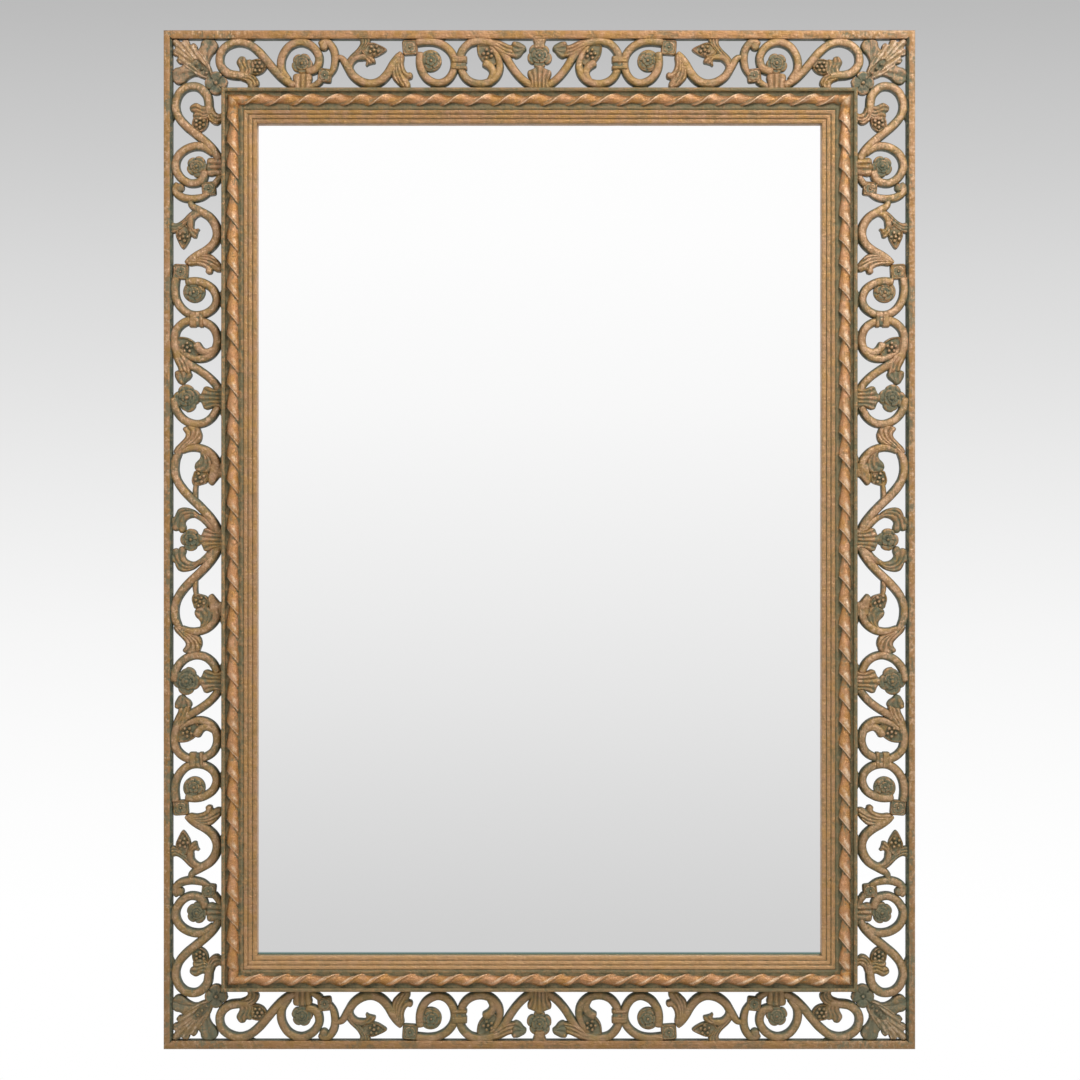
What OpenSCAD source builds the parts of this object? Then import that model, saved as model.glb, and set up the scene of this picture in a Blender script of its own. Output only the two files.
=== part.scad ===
// Wall mirror in a pierced scrollwork frame, on two swinging hanger rings.
// X runs right, Z up, and the glass faces -Y. The wall is the plane y = 0,
// and the origin is the middle of the mirror in that plane.

/* [Frame] */
// Width over the outer rim
frame_w = 787; // [640:1:950]
// Height over the outer rim
frame_h = 1067; // [880:1:1300]
// Face width of the outer rim
rim_w = 8; // [6:0.5:12]
// Depth of the rim from front to back
rim_d = 20; // [16:0.5:26]
// Width of the pierced band between rim and moulding
band_w = 53.2; // [48:0.2:64]
// Width of the inner moulding
mould_w = 37.2; // [35:0.2:46]
// Depth of the moulding from its ridge to its back
mould_d = 29; // [27:0.5:36]

/* [Scrollwork] */
// Thickness of the pierced panels
panel_t = 9; // [6:0.5:12]
// Height of the raised crown on the scrolls
crown_h = 2; // [1:0.25:3]
// Width of a scroll strap
strap_w = 8; // [6.5:0.25:9]
// Width of the panel's edge strip along the rim
strip_w = 1.2; // [0.8:0.1:2]
// Gap between the corner leaves and the scrolls beside them
leaf_gap = 0.15; // [0.1:0.05:0.3]

/* [Rope] */
// Radius of the rope bead
rope_r = 5.75; // [4.5:0.25:6.25]
// Length of one twist of the rope
rope_pitch = 26; // [18:0.5:34]
// Depth of the groove between two twists
rope_cut = 1.6; // [0.8:0.1:2.2]
// Lean of the grooves from square across the bead, in degrees
rope_lean = 48; // [30:1:52]

/* [Glass] */
// Thickness of the mirror glass
glass_t = 5; // [3:0.5:6]
// Thickness of the backing board
board_t = 4; // [2:0.5:5]
// Width of the rebate behind the sight edge
rebate_w = 8; // [6:0.5:10]
// Clearance round the glass in the rebate
glass_gap = 1; // [0.5:0.25:2]

/* [Back fittings] */
// Thickness of the bumpers that keep the frame off the wall
bump_t = 6; // [6:0.5:10]
// Radius of a bumper
bump_r = 7; // [5:0.5:9]
// Radius of a screw head
head_r = 3.2; // [2.5:0.1:3.8]
// Radius of a screw shank
shank_r = 1.6; // [1.2:0.1:2]
// Length of a screw shank below its head
shank_l = 12; // [8:0.5:16]
// Leg length of a corner brace
brace_l = 64; // [44:1:80]
// Width of a corner brace
brace_w = 16; // [12:0.5:20]
// Distance of the hanger rings below the top of the frame
hang_z = 215; // [200:5:300]
// Radius of the ring's bow to the middle of its wire
ring_r = 13; // [10.5:0.5:16]
// Radius of the ring's wire
wire_r = 1.4; // [1.1:0.1:1.6]
// Width of the hanger strap
hanger_w = 14; // [11:0.5:16]
// Running clearance of the ring's bar in the strap, on the radius
bar_gap = 0.05; // [0.03:0.01:0.1]

/* [Hidden] */
$fn = 48;
hw = frame_w / 2;
hh = frame_h / 2;
back_d = bump_t;
rim_f = back_d + rim_d;
mould_x = rim_w + band_w;
mould_f = back_d + mould_d;
sight_x = mould_x + mould_w;
k_m = mould_w / 37.2;
k_b = band_w / 53.2;
panel_f = rim_f - 3;
panel_b = panel_f - panel_t;
crown_in = 0.2 * strap_w;
crown_f = panel_f + crown_h;
boss_f = crown_f + 1.4;
bed_f = mould_f - 4;
rope_x = mould_x + 12.5 * k_m;
rope_d = bed_f + 0.5;
lip_t = 5;
glass_f = bed_f - 5.5 - lip_t;
glass_b = glass_f - glass_t;
board_b = glass_b - board_t;
glass_w = 2 * (hw - sight_x + rebate_w - glass_gap);
glass_h = 2 * (hh - sight_x + rebate_w - glass_gap);
seat_x = (mould_x + sight_x - rebate_w) / 2;
plate_t = 1;
brace_t = 1.5;
head_t = 1.6;
bite = 0.08;
bar_r = wire_r - 0.1;
knob_r = wire_r + 0.1;
bore_r = bar_r + bar_gap;
curl_r = bore_r + 1;
ring_d = knob_r + plate_t + 0.4;
axis_z = hh - hang_z;
axis_x = hw - seat_x;
hanger_l = ring_r + knob_r + 20;
clip_z = axis_z - hanger_l - 25;
clip_x = (hw - seat_x - brace_l - 10) / 3;
bump_z = hh - mould_x - brace_l - 30;

// Helpers

// Points of an arc about c, from angle a0 to a1.
function bow(c, r, a0, a1, n = 7) = [for (i = [0 : n]) let (a = a0 + (a1 - a0) * i / n)
  c + r * [cos(a), sin(a)]];

// Extrudes a front view between two distances from the wall.
module slab(d0, d1) {
  rotate([90, 0, 0]) translate([0, 0, d0]) linear_extrude(d1 - d0) children();
}

// Half length of a side: 0 top, 1 right, 2 bottom, 3 left.
function half_run(k) = k % 2 == 0 ? hw : hh;
function half_off(k) = k % 2 == 0 ? hh : hw;

// Turns work drawn for the top round to side k.
module side(k) {
  rotate([0, 90 * k, 0]) children();
}

// A mitred length: the child is its section, x inward and y away from the wall.
module length_of(k, w0, w1, d1) {
  a = half_run(k);
  b = half_off(k);
  side(k) intersection() {
    translate([0, 0, b]) rotate([180, 90, 0])
      translate([0, 0, -a]) linear_extrude(2 * a) children();
    slab(-1, d1 + 1)
      polygon([[-a + w0, b - w0], [a - w0, b - w0], [a - w1, b - w1], [-a + w1, b - w1]]);
  }
}

// Smooth curve through hand-set points; each point may carry a width.
function mid(a, b, c, d, t) =
  0.5 * (2 * b + (c - a) * t + (2 * a - 5 * b + 4 * c - d) * t * t
    + (3 * b - a - 3 * c + d) * t * t * t);
function curve(q, n) = [
  for (i = [0 : len(q) - 2], k = [0 : n - 1])
    mid(q[max(i - 1, 0)], q[i], q[i + 1], q[min(i + 2, len(q) - 1)], k / n),
  q[len(q) - 1]];

// Scrollwork, in band units: u from the corner, v from the outer edge

// Band units to the drawn top run of side k, from its left end. The corner keeps
// its shape, and the rest stretches so that u_mid lands on the side's middle.
corner_u = 62;
function u_mid(k) = k % 2 == 0 ? 384.5 : 533.5;
function across(v) = rim_w + (v - 8) * k_b;
function stretch(k) = k > 3 ? k_b
  : (half_run(k) - across(corner_u)) / (u_mid(k) - corner_u);
function place(k, p) = [
  p[0] < corner_u ? across(p[0]) : across(corner_u) + (p[0] - corner_u) * stretch(k),
  across(p[1])];

// One strap: three numbers a point, the last its width over strap_w.
module strap(k, q, grow = 0) {
  c = curve(q, 2);
  m = len(c) - 1;
  s = [for (p = c) place(k, p)];
  h = [for (p = c) max(p[2] * strap_w * k_b / 2 + grow, 0.4)];
  t = [for (i = [0 : m]) s[min(i + 1, m)] - s[max(i - 1, 0)]];
  o = [for (v = t) [-v[1], v[0]] / norm(v)];
  polygon(concat([for (i = [0 : m]) s[i] + o[i] * h[i]],
    [for (i = [m : -1 : 0]) s[i] - o[i] * h[i]]));
}

// Closes the slits narrower than twice j, as the gesso under the finish does.
module melded(j) {
  offset(delta = -j) offset(delta = j) children();
}

// A leaf or pod outline, smoothed through its points.
module leaf(k, q) {
  n = len(q);
  r = concat([q[n - 1]], q, [q[0], q[1]]);
  polygon([for (i = [1 : n], t = [0, 0.5]) place(k, mid(r[i - 1], r[i], r[i + 1], r[i + 2], t))]);
}

module disc(k, c, r) {
  translate(place(k, c)) circle(r * k_b, $fn = 32);
}

// Flower with n round petals.
module petals(k, c, r, n, a = 0) {
  translate(place(k, c)) {
    circle(r * 0.62 * k_b, $fn = 24);
    for (i = [0 : n - 1]) rotate(a + 360 * i / n)
      translate([r * 0.58 * k_b, 0]) circle(r * 0.44 * k_b, $fn = 20);
  }
}

corner_scroll = [[87, 47.5, 0.9], [78, 46.8, 1.05], [68, 45, 1.1], [60.5, 38.5, 1.05], [58, 31, 1],
  [60, 22, 1], [67, 15, 1], [78, 11.8, 1], [89, 14.5, 1], [98.5, 22, 1.05], [107, 32, 1.05],
  [115, 42, 1.05], [124, 51, 1.05], [134, 57.5, 1]];
rose_scroll = [[128, 51, 0.9], [121.5, 41, 1], [121.5, 29, 1], [127, 18.5, 1], [135, 13, 1],
  [144, 12, 1], [153, 16.5, 1], [159, 25, 1], [159.5, 33, 1], [156, 40, 1.05], [148, 43, 1]];
volute = [[172, 46, 0.7], [174.5, 38, 0.85], [175.5, 28, 0.95], [174, 19, 0.95], [169.5, 13, 0.9]];
berry_scroll = [[177, 28, 0.6], [183, 29, 0.8], [189, 38, 1], [195, 47.5, 1.05], [204, 53.8, 1.1],
  [214, 55.5, 1.1], [223, 52, 1.1], [230, 44.5, 1.1], [235.5, 35, 1.1], [241, 26, 1.1], [246, 18, 1]];
berry_arm = [[190, 40, 1], [191.5, 30, 1.05], [197.5, 22, 1.1], [203.5, 15, 1.2], [206, 7, 1.35]];
berry_curl = [[194, 40, 0.6], [195.5, 31, 0.7], [201, 27, 0.85], [207.5, 28, 0.95], [212.5, 34.5, 1]];
rosette_scroll = [[263, 24, 1], [262.5, 34, 1], [265, 43, 1], [271, 51, 1], [281, 55, 1],
  [290, 52, 1], [296, 44, 1], [298, 34, 1], [296, 25, 1], [290, 17.5, 1], [281, 12.5, 1],
  [271, 11, 1], [260, 12, 1]];
hook_top = [[303, 36, 0.9], [303.5, 27, 1], [307, 19, 1], [314, 12.8, 1], [324, 10.8, 1],
  [334, 12, 1], [343, 16, 1], [351, 20, 1], [358, 22.5, 1], [365, 22, 1]];
hook_low = [[304, 36, 0.9], [306, 44, 1], [311, 51, 1], [319, 55, 1], [328, 55.5, 1.05],
  [337, 51.5, 1], [343, 43, 0.85], [344, 33, 0.8], [341, 24, 0.7], [337, 17, 0.6]];
hook_curl = [[331, 53, 0.7], [337.5, 47, 0.85], [338.5, 40, 0.9], [334.5, 36, 0.9], [330, 37, 1]];
tail_strap = [[344, 19, 0.9], [350, 27, 1], [356, 37, 1], [363, 46.5, 1], [371, 54, 1],
  [381, 60, 1]];
loop_strap = [[386, 10, 0.95], [398, 12.8, 1], [407.5, 20.5, 1], [412, 31, 1], [411, 41.5, 1],
  [405, 50, 1], [395, 56, 1]];
tulip_top = [[436, 28, 0.9], [441, 18.5, 1], [450, 12, 1], [461, 11, 1], [471, 13.5, 1],
  [480, 19, 1.05], [489, 27, 1.05], [498, 36.5, 1.05], [508, 46, 1.05], [518, 53.5, 1],
  [528, 58, 0.95]];
tulip_low = [[438, 24, 0.8], [437, 34, 1], [440, 44, 1], [447, 52, 1], [457, 55.5, 1.1],
  [467, 54, 1], [475.5, 49, 0.35]];
tulip_stalk = [[476, 31, 0.45], [485, 30.5, 0.5], [494, 36, 0.6]];
mid_ring = [[523, 14, 1], [513, 14, 1], [507, 20, 0.95], [506.5, 29, 0.9], [509, 38, 0.9],
  [515, 47, 0.95], [524, 55, 0.95]];
curl_leaf = [[75.5, 33], [78, 27.5], [81.5, 26.5], [86, 30], [91, 31], [94, 38], [91, 46],
  [84, 49], [76, 47], [77, 40]];
foot_leaf = [[78, 47], [86, 44], [93, 46.5], [97.5, 52], [98, 63], [84, 63], [84, 56], [80, 51.5]];
first_pod = [[88, 32], [95, 29.5], [102, 29.5], [106, 34], [104.5, 41], [98.5, 46], [91, 46],
  [87, 40]];
small_base = [[146, 50], [157, 43], [160, 37.5], [170, 37.5], [176, 41], [176.5, 53.5], [165, 56],
  [152, 61], [146, 60]];
berry_pod = [[207, 17], [212, 13.5], [220, 13.5], [226, 17], [228, 21], [224, 26], [217, 29],
  [210, 27], [205, 22]];
tail_leaf = [[236, 32], [243, 25], [248, 28], [247, 36], [250, 42], [255.5, 43.5], [257.5, 47.5],
  [255, 52.5], [254, 62], [248, 62], [241, 54.5], [234, 50], [233, 41]];
square_base = [[241, 6], [262, 6], [264, 15], [266, 24], [260, 25], [244, 25.5], [241.5, 20],
  [243, 14]];
hook_pod = [[322, 19], [325, 15.5], [334, 14], [342, 19], [344, 27], [338, 34], [331, 37],
  [326, 32]];
end_leaf = [[357, 17.5], [359, 13], [362, 11.5], [365, 14.5], [370, 14], [371.5, 18],
  [370, 24], [366, 29], [361, 30.5], [355, 27], [351, 22]];
fan = [[-2.8, 32], [2.8, 32], [3.4, 40], [8, 41.5], [13.2, 45.5], [12.6, 48.5], [9.6, 51],
  [8.6, 62], [-8.6, 62], [-9.6, 51], [-12.6, 48.5], [-13.2, 45.5], [-8, 41.5], [-3.4, 40]];
knee_leaf = [[410, 28], [416, 25.5], [420, 21], [424, 22.5], [427, 25], [432, 22], [439, 26],
  [436, 33], [431, 39], [425, 41.5], [419, 38], [412, 38]];
tulip_leaf = [[442, 39], [449, 40], [451, 35], [457, 34], [464, 35], [467, 42], [464, 49],
  [457, 52], [448, 50]];
tulip_pod = [[460, 36], [466, 31.5], [474, 30.5], [480, 34], [478, 42], [474.5, 49],
  [466, 50], [460, 44]];
mid_leaf = [[512, 24], [511, 17], [513, 9], [519, 6.5], [525, 9], [527, 16], [523, 22],
  [517, 25]];

run_straps = [corner_scroll, rose_scroll, volute, berry_scroll, berry_arm, berry_curl,
  rosette_scroll, hook_top, hook_low, hook_curl, tail_strap];
run_leaves = [curl_leaf, foot_leaf, first_pod, small_base, berry_pod, tail_leaf, square_base,
  hook_pod, end_leaf];
side_straps = [loop_strap, tulip_top, tulip_low, tulip_stalk, mid_ring];
side_leaves = [knee_leaf, tulip_leaf, tulip_pod, mid_leaf];

// Berries sit in their pods: pod middle, turn and count.
pods = [[[97, 38], 0, 6], [[216, 20.5], 15, 6], [[332, 24.5], -35, 6]];
side_pods = [[[471, 39], 20, 5]];

function shifted(q, du) = [for (p = q) [p[0] + du, p[1]]];

// The half run of side k: straps, leaves and flowers in the front view.
module run_base(k) {
  for (q = run_straps) strap(k, q);
  for (q = run_leaves) leaf(k, q);
  disc(k, [142.5, 34.5], 10.5);
  disc(k, [165.5, 14.5], 7);
  disc(k, [274, 31.5], 11.5);
  collar(k, 302.5, 28, 41.5, 9);
  stem(k, 143, 45, 10);
  if (k % 2 == 1) {
    for (q = side_straps) strap(k, q);
    for (q = side_leaves) leaf(k, q);
    leaf(k, shifted(fan, 385));
    petals(k, [385, 24], 13, 5, 18);
  }
}

module run_crown(k) {
  for (q = run_straps) strap(k, q, -crown_in);
  for (i = [-1, 0, 1]) bar2d(k, [143 + 5 * i, 47], [143 + 4.4 * i, 61], 2.4);
  for (i = [0 : 2]) bar2d(k, [295, 30.5 + 4.2 * i], [310, 30.5 + 4.2 * i], 2.2);
  for (q = [[[80, 31], [82, 38], [86, 45]], [[87, 33], [86, 41], [87, 47]],
      [[86, 49], [91, 53], [92, 61]], [[243, 30], [244, 42], [250, 49]],
      [[238, 38], [242, 49], [250, 59]], [[361, 14], [364, 21], [360, 27]]])
    rib(k, q, 2.2);
  if (k % 2 == 1) {
    for (q = side_straps) strap(k, q, -crown_in);
    for (q = [[[420, 24], [425, 32], [434, 29]], [[417, 31], [425, 38], [433, 34]],
        [[453, 38], [459, 42], [456, 48]], [[519, 10], [519, 16], [514, 21]],
        [[385, 41], [385, 50], [385, 61]], [[378, 46], [380, 52], [379.5, 61]],
        [[392, 46], [390, 52], [390.5, 61]]])
      rib(k, q, 2.4);
  }
}

module run_boss(k) {
  petals(k, [142.5, 34.5], 8.5, 5, 10);
  disc(k, [165.5, 14.5], 4.6);
  petals(k, [165.5, 45.5], 6.4, 5, 30);
  petals(k, [252.5, 16], 7, 5, 0);
  petals(k, [274, 31.5], 9, 5, 40);
  for (p = pods) berries(k, p);
  if (k % 2 == 1) {
    for (p = side_pods) berries(k, p);
    petals(k, [385, 24], 10.5, 5, 18);
  }
}

// What sits on the middle of a side: height and petals of its flower.
function mid_v(k) = k % 2 == 0 ? 26 : 28;
function mid_n(k) = k % 2 == 0 ? 5 : 4;

module mid_base(k) {
  u = u_mid(k);
  leaf(k, shifted(fan, u));
  petals(k, [u, mid_v(k)], 12, mid_n(k), 90);
  if (k % 2 == 0) disc(k, [u, 12.5], 6);
}

module mid_crown(k) {
  u = u_mid(k);
  rib(k, [[u, 41], [u, 50], [u, 61]], 2.6);
  for (i = [-1, 1]) rib(k, [[u + 7 * i, 46], [u + 5 * i, 52], [u + 5.5 * i, 61]], 2.4);
}

module mid_boss(k) {
  u = u_mid(k);
  petals(k, [u, mid_v(k)], 9.8, mid_n(k), 90);
  if (k % 2 == 0) disc(k, [u, 12.5], 3.6);
}

module bar2d(k, a, b, wd) {
  strap(k, [[a[0], a[1], wd / strap_w], [b[0], b[1], wd / strap_w]]);
}

module rib(k, q, wd) {
  strap(k, [for (p = q) [p[0], p[1], wd / strap_w]]);
}

module collar(k, u, v0, v1, half) {
  leaf(k, [[u - half + 1, v0], [u + half - 1, v0], [u + half, (v0 + v1) / 2], [u + half - 1, v1],
    [u - half + 1, v1], [u - half, (v0 + v1) / 2]]);
}

module stem(k, u, v0, half) {
  leaf(k, [[u - 6, v0], [u + 6, v0], [u + half, v0 + 5], [u + half - 1, v0 + 9], [u + 6.5, 62],
    [u - 6.5, 62], [u - half + 1, v0 + 9], [u - half, v0 + 5]]);
}

// A cluster of berries: one in the middle, the rest round it.
module berries(k, p) {
  disc(k, p[0], 1.7);
  for (i = [1 : p[2] - 1])
    disc(k, p[0] + 4.3 * [cos(p[1] + 360 * i / (p[2] - 1)), sin(p[1] + 360 * i / (p[2] - 1))], 1.7);
}

// Both halves of side k, in its front view seen from the top side.
module both(k) {
  a = half_run(k);
  for (s = [0, 1]) mirror([s, 0]) translate([-a, half_off(k)]) mirror([0, 1]) children();
}

module one(k) {
  translate([-half_run(k), half_off(k)]) mirror([0, 1]) children();
}

// The band between rim and moulding, mitred at its ends.
module band(k, w0 = rim_w, w1 = mould_x) {
  a = half_run(k);
  b = half_off(k);
  polygon([[-a + w0, b - w0], [a - w0, b - w0], [a - w1, b - w1], [-a + w1, b - w1]]);
}

// Pieces

module rim(k) {
  c = 1.2;
  color([0.72, 0.53, 0.34]) length_of(k, 0, rim_w, rim_f)
    polygon([[0, back_d], [0, rim_f - c], [c, rim_f], [rim_w - c, rim_f], [rim_w, rim_f - c],
      [rim_w, back_d]]);
}

module moulding(k) {
  x = [for (m = [0, 3.5, 4.6, 19.6, 21.6, 24.2, 29.2, 34.6, 37.2]) mould_x + m * k_m];
  color([0.55, 0.44, 0.31]) difference() {
    length_of(k, mould_x, sight_x, mould_f) polygon(concat(
      [[x[0], back_d], [x[0], mould_f - 1.5], [x[0] + 1, mould_f], [x[1] - 0.7, mould_f],
        [x[1], mould_f - 1.2], [x[2], bed_f], [x[3], bed_f], [x[3], bed_f + 1], [x[4], bed_f + 1],
        [x[4], bed_f]],
      bow([x[5], bed_f - 0.4], 1.9, 165, 5), bow([x[6], bed_f - 1.7], 2, 150, 5),
      bow([x[7], bed_f - 3.7], x[8] - x[7], 150, 0),
      [[x[8], glass_f], [x[8] - rebate_w, glass_f], [x[8] - rebate_w, back_d]]));
    for (p = screw_spots()) bore_at(p, shank_r - bite);
  }
}

module rope(k) {
  a = half_run(k) - rope_x;
  n = floor(2 * (a - rope_r) / rope_pitch);
  step = 2 * (a - rope_r) / n;
  color([0.79, 0.6, 0.43]) difference() {
    length_of(k, rope_x - rope_r, rope_x + rope_r, rope_d + rope_r) difference() {
      translate([rope_x, rope_d]) circle(rope_r);
      translate([rope_x - 2 * rope_r, bed_f - 4 * rope_r]) square(4 * rope_r);
    }
    side(k) for (i = [0 : n])
      translate([-a + rope_r + i * step, -(rope_d + rope_r - rope_cut + 2.2), half_off(k) - rope_x])
        rotate([0, rope_lean, 0]) cylinder(r = 2.2, h = 6 * rope_r, center = true);
  }
}

module scroll(k) {
  color([0.62, 0.47, 0.32]) side(k) {
    slab(panel_b, panel_f) melded(0.2) {
      intersection() {
        union() {
          both(k) run_base(k);
          one(k) mid_base(k);
        }
        band(k);
      }
      band(k, rim_w, rim_w + strip_w);
    }
    slab(panel_f - 1, crown_f) melded(0.1) intersection() {
      union() {
        both(k) run_crown(k);
        one(k) mid_crown(k);
      }
      band(k);
    }
    slab(panel_f - 1, boss_f) {
      both(k) run_boss(k);
      one(k) mid_boss(k);
    }
  }
}

// Corner leaf and flower, drawn at the top left and turned to the others.
leaf_main = [[8, 8], [22, 8], [30, 15], [37, 19], [45, 28], [50, 38], [57, 47], [47, 57], [38, 50],
  [28, 45], [19, 37], [15, 30], [8, 22]];
leaf_side = [[38, 14], [40, 7], [51, 7], [55, 14], [56, 19], [51, 25], [46, 29], [47, 36], [38, 30],
  [33, 20]];
leaf_veins = [[[14, 14], [28, 28], [42, 44]], [[17, 10], [29, 22], [44, 40]],
  [[45, 11], [42, 21], [47, 40]]];
flower_at = 54;
CORNER = 4;

module leaf_front(sx, sy) {
  mirror([sx, 0]) mirror([0, sy]) translate([-hw, hh]) mirror([0, 1]) children();
}

// A shape and its mirror image across the mitre.
module twice() {
  children();
  mirror([1, -1]) children();
}

module corner_flower(r) {
  translate(place(CORNER, [flower_at, flower_at])) scale(k_b) {
    circle(r * 0.62, $fn = 24);
    for (i = [0 : 3]) rotate(90 * i) translate([r * 0.56, 0]) circle(r * 0.5, $fn = 24);
  }
}

module corner_leaf(sx, sy) {
  e = rim_w + strip_w;
  color([0.47, 0.44, 0.32]) {
    slab(panel_b, panel_f + 0.6) melded(0.05) leaf_front(sx, sy) difference() {
      intersection() {
        union() {
          twice() {
            leaf(CORNER, leaf_main);
            leaf(CORNER, leaf_side);
          }
          corner_flower(12);
          translate([mould_x, mould_x]) square(12 * k_b, center = true);
        }
        translate([e, e]) square(mould_x + 30);
      }
      translate([mould_x, mould_x]) square(60);
      twice() strap(0, corner_scroll, leaf_gap);
    }
    slab(panel_f - 1, boss_f) melded(0.05) leaf_front(sx, sy) difference() {
      union() {
        corner_flower(9.5);
        twice() for (q = leaf_veins) rib(CORNER, q, 2.6);
      }
      translate([mould_x, mould_x]) square(60);
    }
  }
}

module mirror_glass() {
  color([0.86, 0.89, 0.9]) slab(glass_b, glass_f) square([glass_w, glass_h], center = true);
}

module backing_board() {
  color([0.55, 0.42, 0.28]) slab(board_b, glass_b) square([glass_w, glass_h], center = true);
}

// Back fittings. A spot is [x, z, d], d the face under the screw's head.
function corner(i) = [i % 2 == 0 ? -1 : 1, i < 2 ? 1 : -1];

function brace_spots() = [for (i = [0 : 3], j = [0.42, 0.86], f = [0, 1])
  let (s = corner(i), q = j * brace_l)
  f == 0 ? [s[0] * (hw - seat_x - q + brace_w / 2), s[1] * (hh - seat_x), brace_t]
    : [s[0] * (hw - seat_x), s[1] * (hh - seat_x - q + brace_w / 2), brace_t]];

function clip_turns() = [for (k = [0 : 3], j = k % 2 == 0 ? [-3, -1, 1, 3] : [-1, 0, 1])
  [k, j * (k % 2 == 0 ? clip_x : clip_z)]];

function clip_spots() = [for (c = clip_turns())
  let (b = half_off(c[0]) - seat_x)
  c[0] == 0 ? [c[1], b, plate_t] : c[0] == 1 ? [b, -c[1], plate_t]
    : c[0] == 2 ? [-c[1], -b, plate_t] : [-b, c[1], plate_t]];

function hanger_spots() = [for (s = [-1, 1], j = [0, 1])
  [s * axis_x, axis_z - ring_r - knob_r - 5 - 10 * j, plate_t]];

function screw_spots() = concat(brace_spots(), clip_spots(), hanger_spots());

module bore_at(p, r, over = 0) {
  translate([p[0], -back_d + over, p[1]]) rotate([90, 0, 0]) cylinder(r = r, h = shank_l + over, $fn = 32);
}

module back_screws() {
  color([0.7, 0.68, 0.6]) for (p = screw_spots()) translate([p[0], -back_d + p[2], p[1]]) {
    difference() {
      rotate([-90, 0, 0]) cylinder(r = head_r, h = head_t, $fn = 32);
      translate([-0.4, head_t - 0.8, -head_r - 1]) cube([0.8, 1, 2 * head_r + 2]);
    }
    rotate([90, 0, 0]) cylinder(r = shank_r, h = shank_l - 1, $fn = 32);
  }
}

module brace(i) {
  s = corner(i);
  color([0.6, 0.6, 0.58]) difference() {
    translate([0, -back_d, 0]) mirror([s[0] < 0 ? 1 : 0, 0, 0]) mirror([0, 0, s[1] < 0 ? 1 : 0])
      translate([hw - seat_x + brace_w / 2, 0, hh - seat_x + brace_w / 2]) {
        translate([-brace_l, 0, -brace_w]) cube([brace_l, brace_t, brace_w]);
        translate([-brace_w, 0, -brace_l]) cube([brace_w, brace_t, brace_l]);
      }
    for (p = brace_spots()) bore_at(p, shank_r + 0.2, 3);
  }
}

module glass_clips() {
  lip = sight_x - rebate_w - seat_x;
  color([0.62, 0.62, 0.6]) difference() {
    for (c = clip_turns()) side(c[0]) translate([c[1] - 6, -back_d, half_off(c[0]) - seat_x]) {
      translate([0, 0, -lip - plate_t - 0.1]) cube([12, plate_t, lip + plate_t + 7]);
      translate([0, back_d - board_b, -lip - plate_t - 0.1]) cube([12, board_b - back_d + plate_t, plate_t]);
      translate([0, back_d - board_b, -lip - 10]) cube([12, plate_t, 10]);
    }
    for (p = clip_spots()) bore_at(p, shank_r + 0.2, 3);
  }
}

// Strap of a ring hanger: a plate with a curl at its top that holds the ring.
module hanger(s) {
  color([0.62, 0.6, 0.52]) difference() {
    translate([s * axis_x, -back_d, axis_z]) {
      translate([-hanger_w / 2, 0, -hanger_l]) cube([hanger_w, plate_t, hanger_l]);
      translate([-hanger_w / 2, 0, 0]) {
        translate([0, ring_d, 0]) rotate([0, 90, 0]) cylinder(r = curl_r, h = hanger_w);
        translate([0, 0, 0]) cube([hanger_w, ring_d, curl_r - 0.3]);
      }
    }
    translate([s * axis_x - hanger_w, -back_d + ring_d, axis_z]) rotate([0, 90, 0])
      cylinder(r = bore_r, h = 2 * hanger_w);
    for (p = hanger_spots()) bore_at(p, shank_r + 0.2, 3);
  }
}

module ring(s) {
  color([0.72, 0.7, 0.64]) translate([s * axis_x, -back_d + ring_d, axis_z]) {
    translate([-ring_r, 0, 0]) rotate([0, 90, 0]) cylinder(r = bar_r, h = 2 * ring_r);
    for (t = [-1, 1]) translate([t * ring_r, 0, 0]) sphere(r = knob_r);
    rotate([90, 0, 0]) rotate([0, 0, 180]) rotate_extrude(angle = 180)
      translate([ring_r, 0]) circle(wire_r, $fn = 24);
  }
}

module bumpers() {
  color([0.16, 0.15, 0.14]) for (sx = [-1, 1], sz = [-1, 1])
    translate([sx * (hw - seat_x), 0, sz * bump_z])
      rotate([90, 0, 0]) cylinder(r = bump_r, h = bump_t);
}

rim(0);  // rim_top
rim(1);  // rim_right
rim(2);  // rim_bottom
rim(3);  // rim_left
moulding(0);  // moulding_top
moulding(1);  // moulding_right
moulding(2);  // moulding_bottom
moulding(3);  // moulding_left
rope(0);  // rope_top
rope(1);  // rope_right
rope(2);  // rope_bottom
rope(3);  // rope_left
scroll(0);  // scroll_top
scroll(1);  // scroll_right
scroll(2);  // scroll_bottom
scroll(3);  // scroll_left
corner_leaf(0, 0);  // leaf_top_left
corner_leaf(1, 0);  // leaf_top_right
corner_leaf(1, 1);  // leaf_bottom_right
corner_leaf(0, 1);  // leaf_bottom_left
mirror_glass();
backing_board();
glass_clips();
brace(0);  // brace_top_left
brace(1);  // brace_top_right
brace(3);  // brace_bottom_right
brace(2);  // brace_bottom_left
hanger(-1);  // hanger_left
hanger(1);  // hanger_right
ring(-1);  // ring_left
ring(1);  // ring_right
back_screws();
bumpers();
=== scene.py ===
import math

import bmesh
import bpy
import numpy as np
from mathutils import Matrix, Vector
from mathutils.geometry import delaunay_2d_cdt


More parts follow.
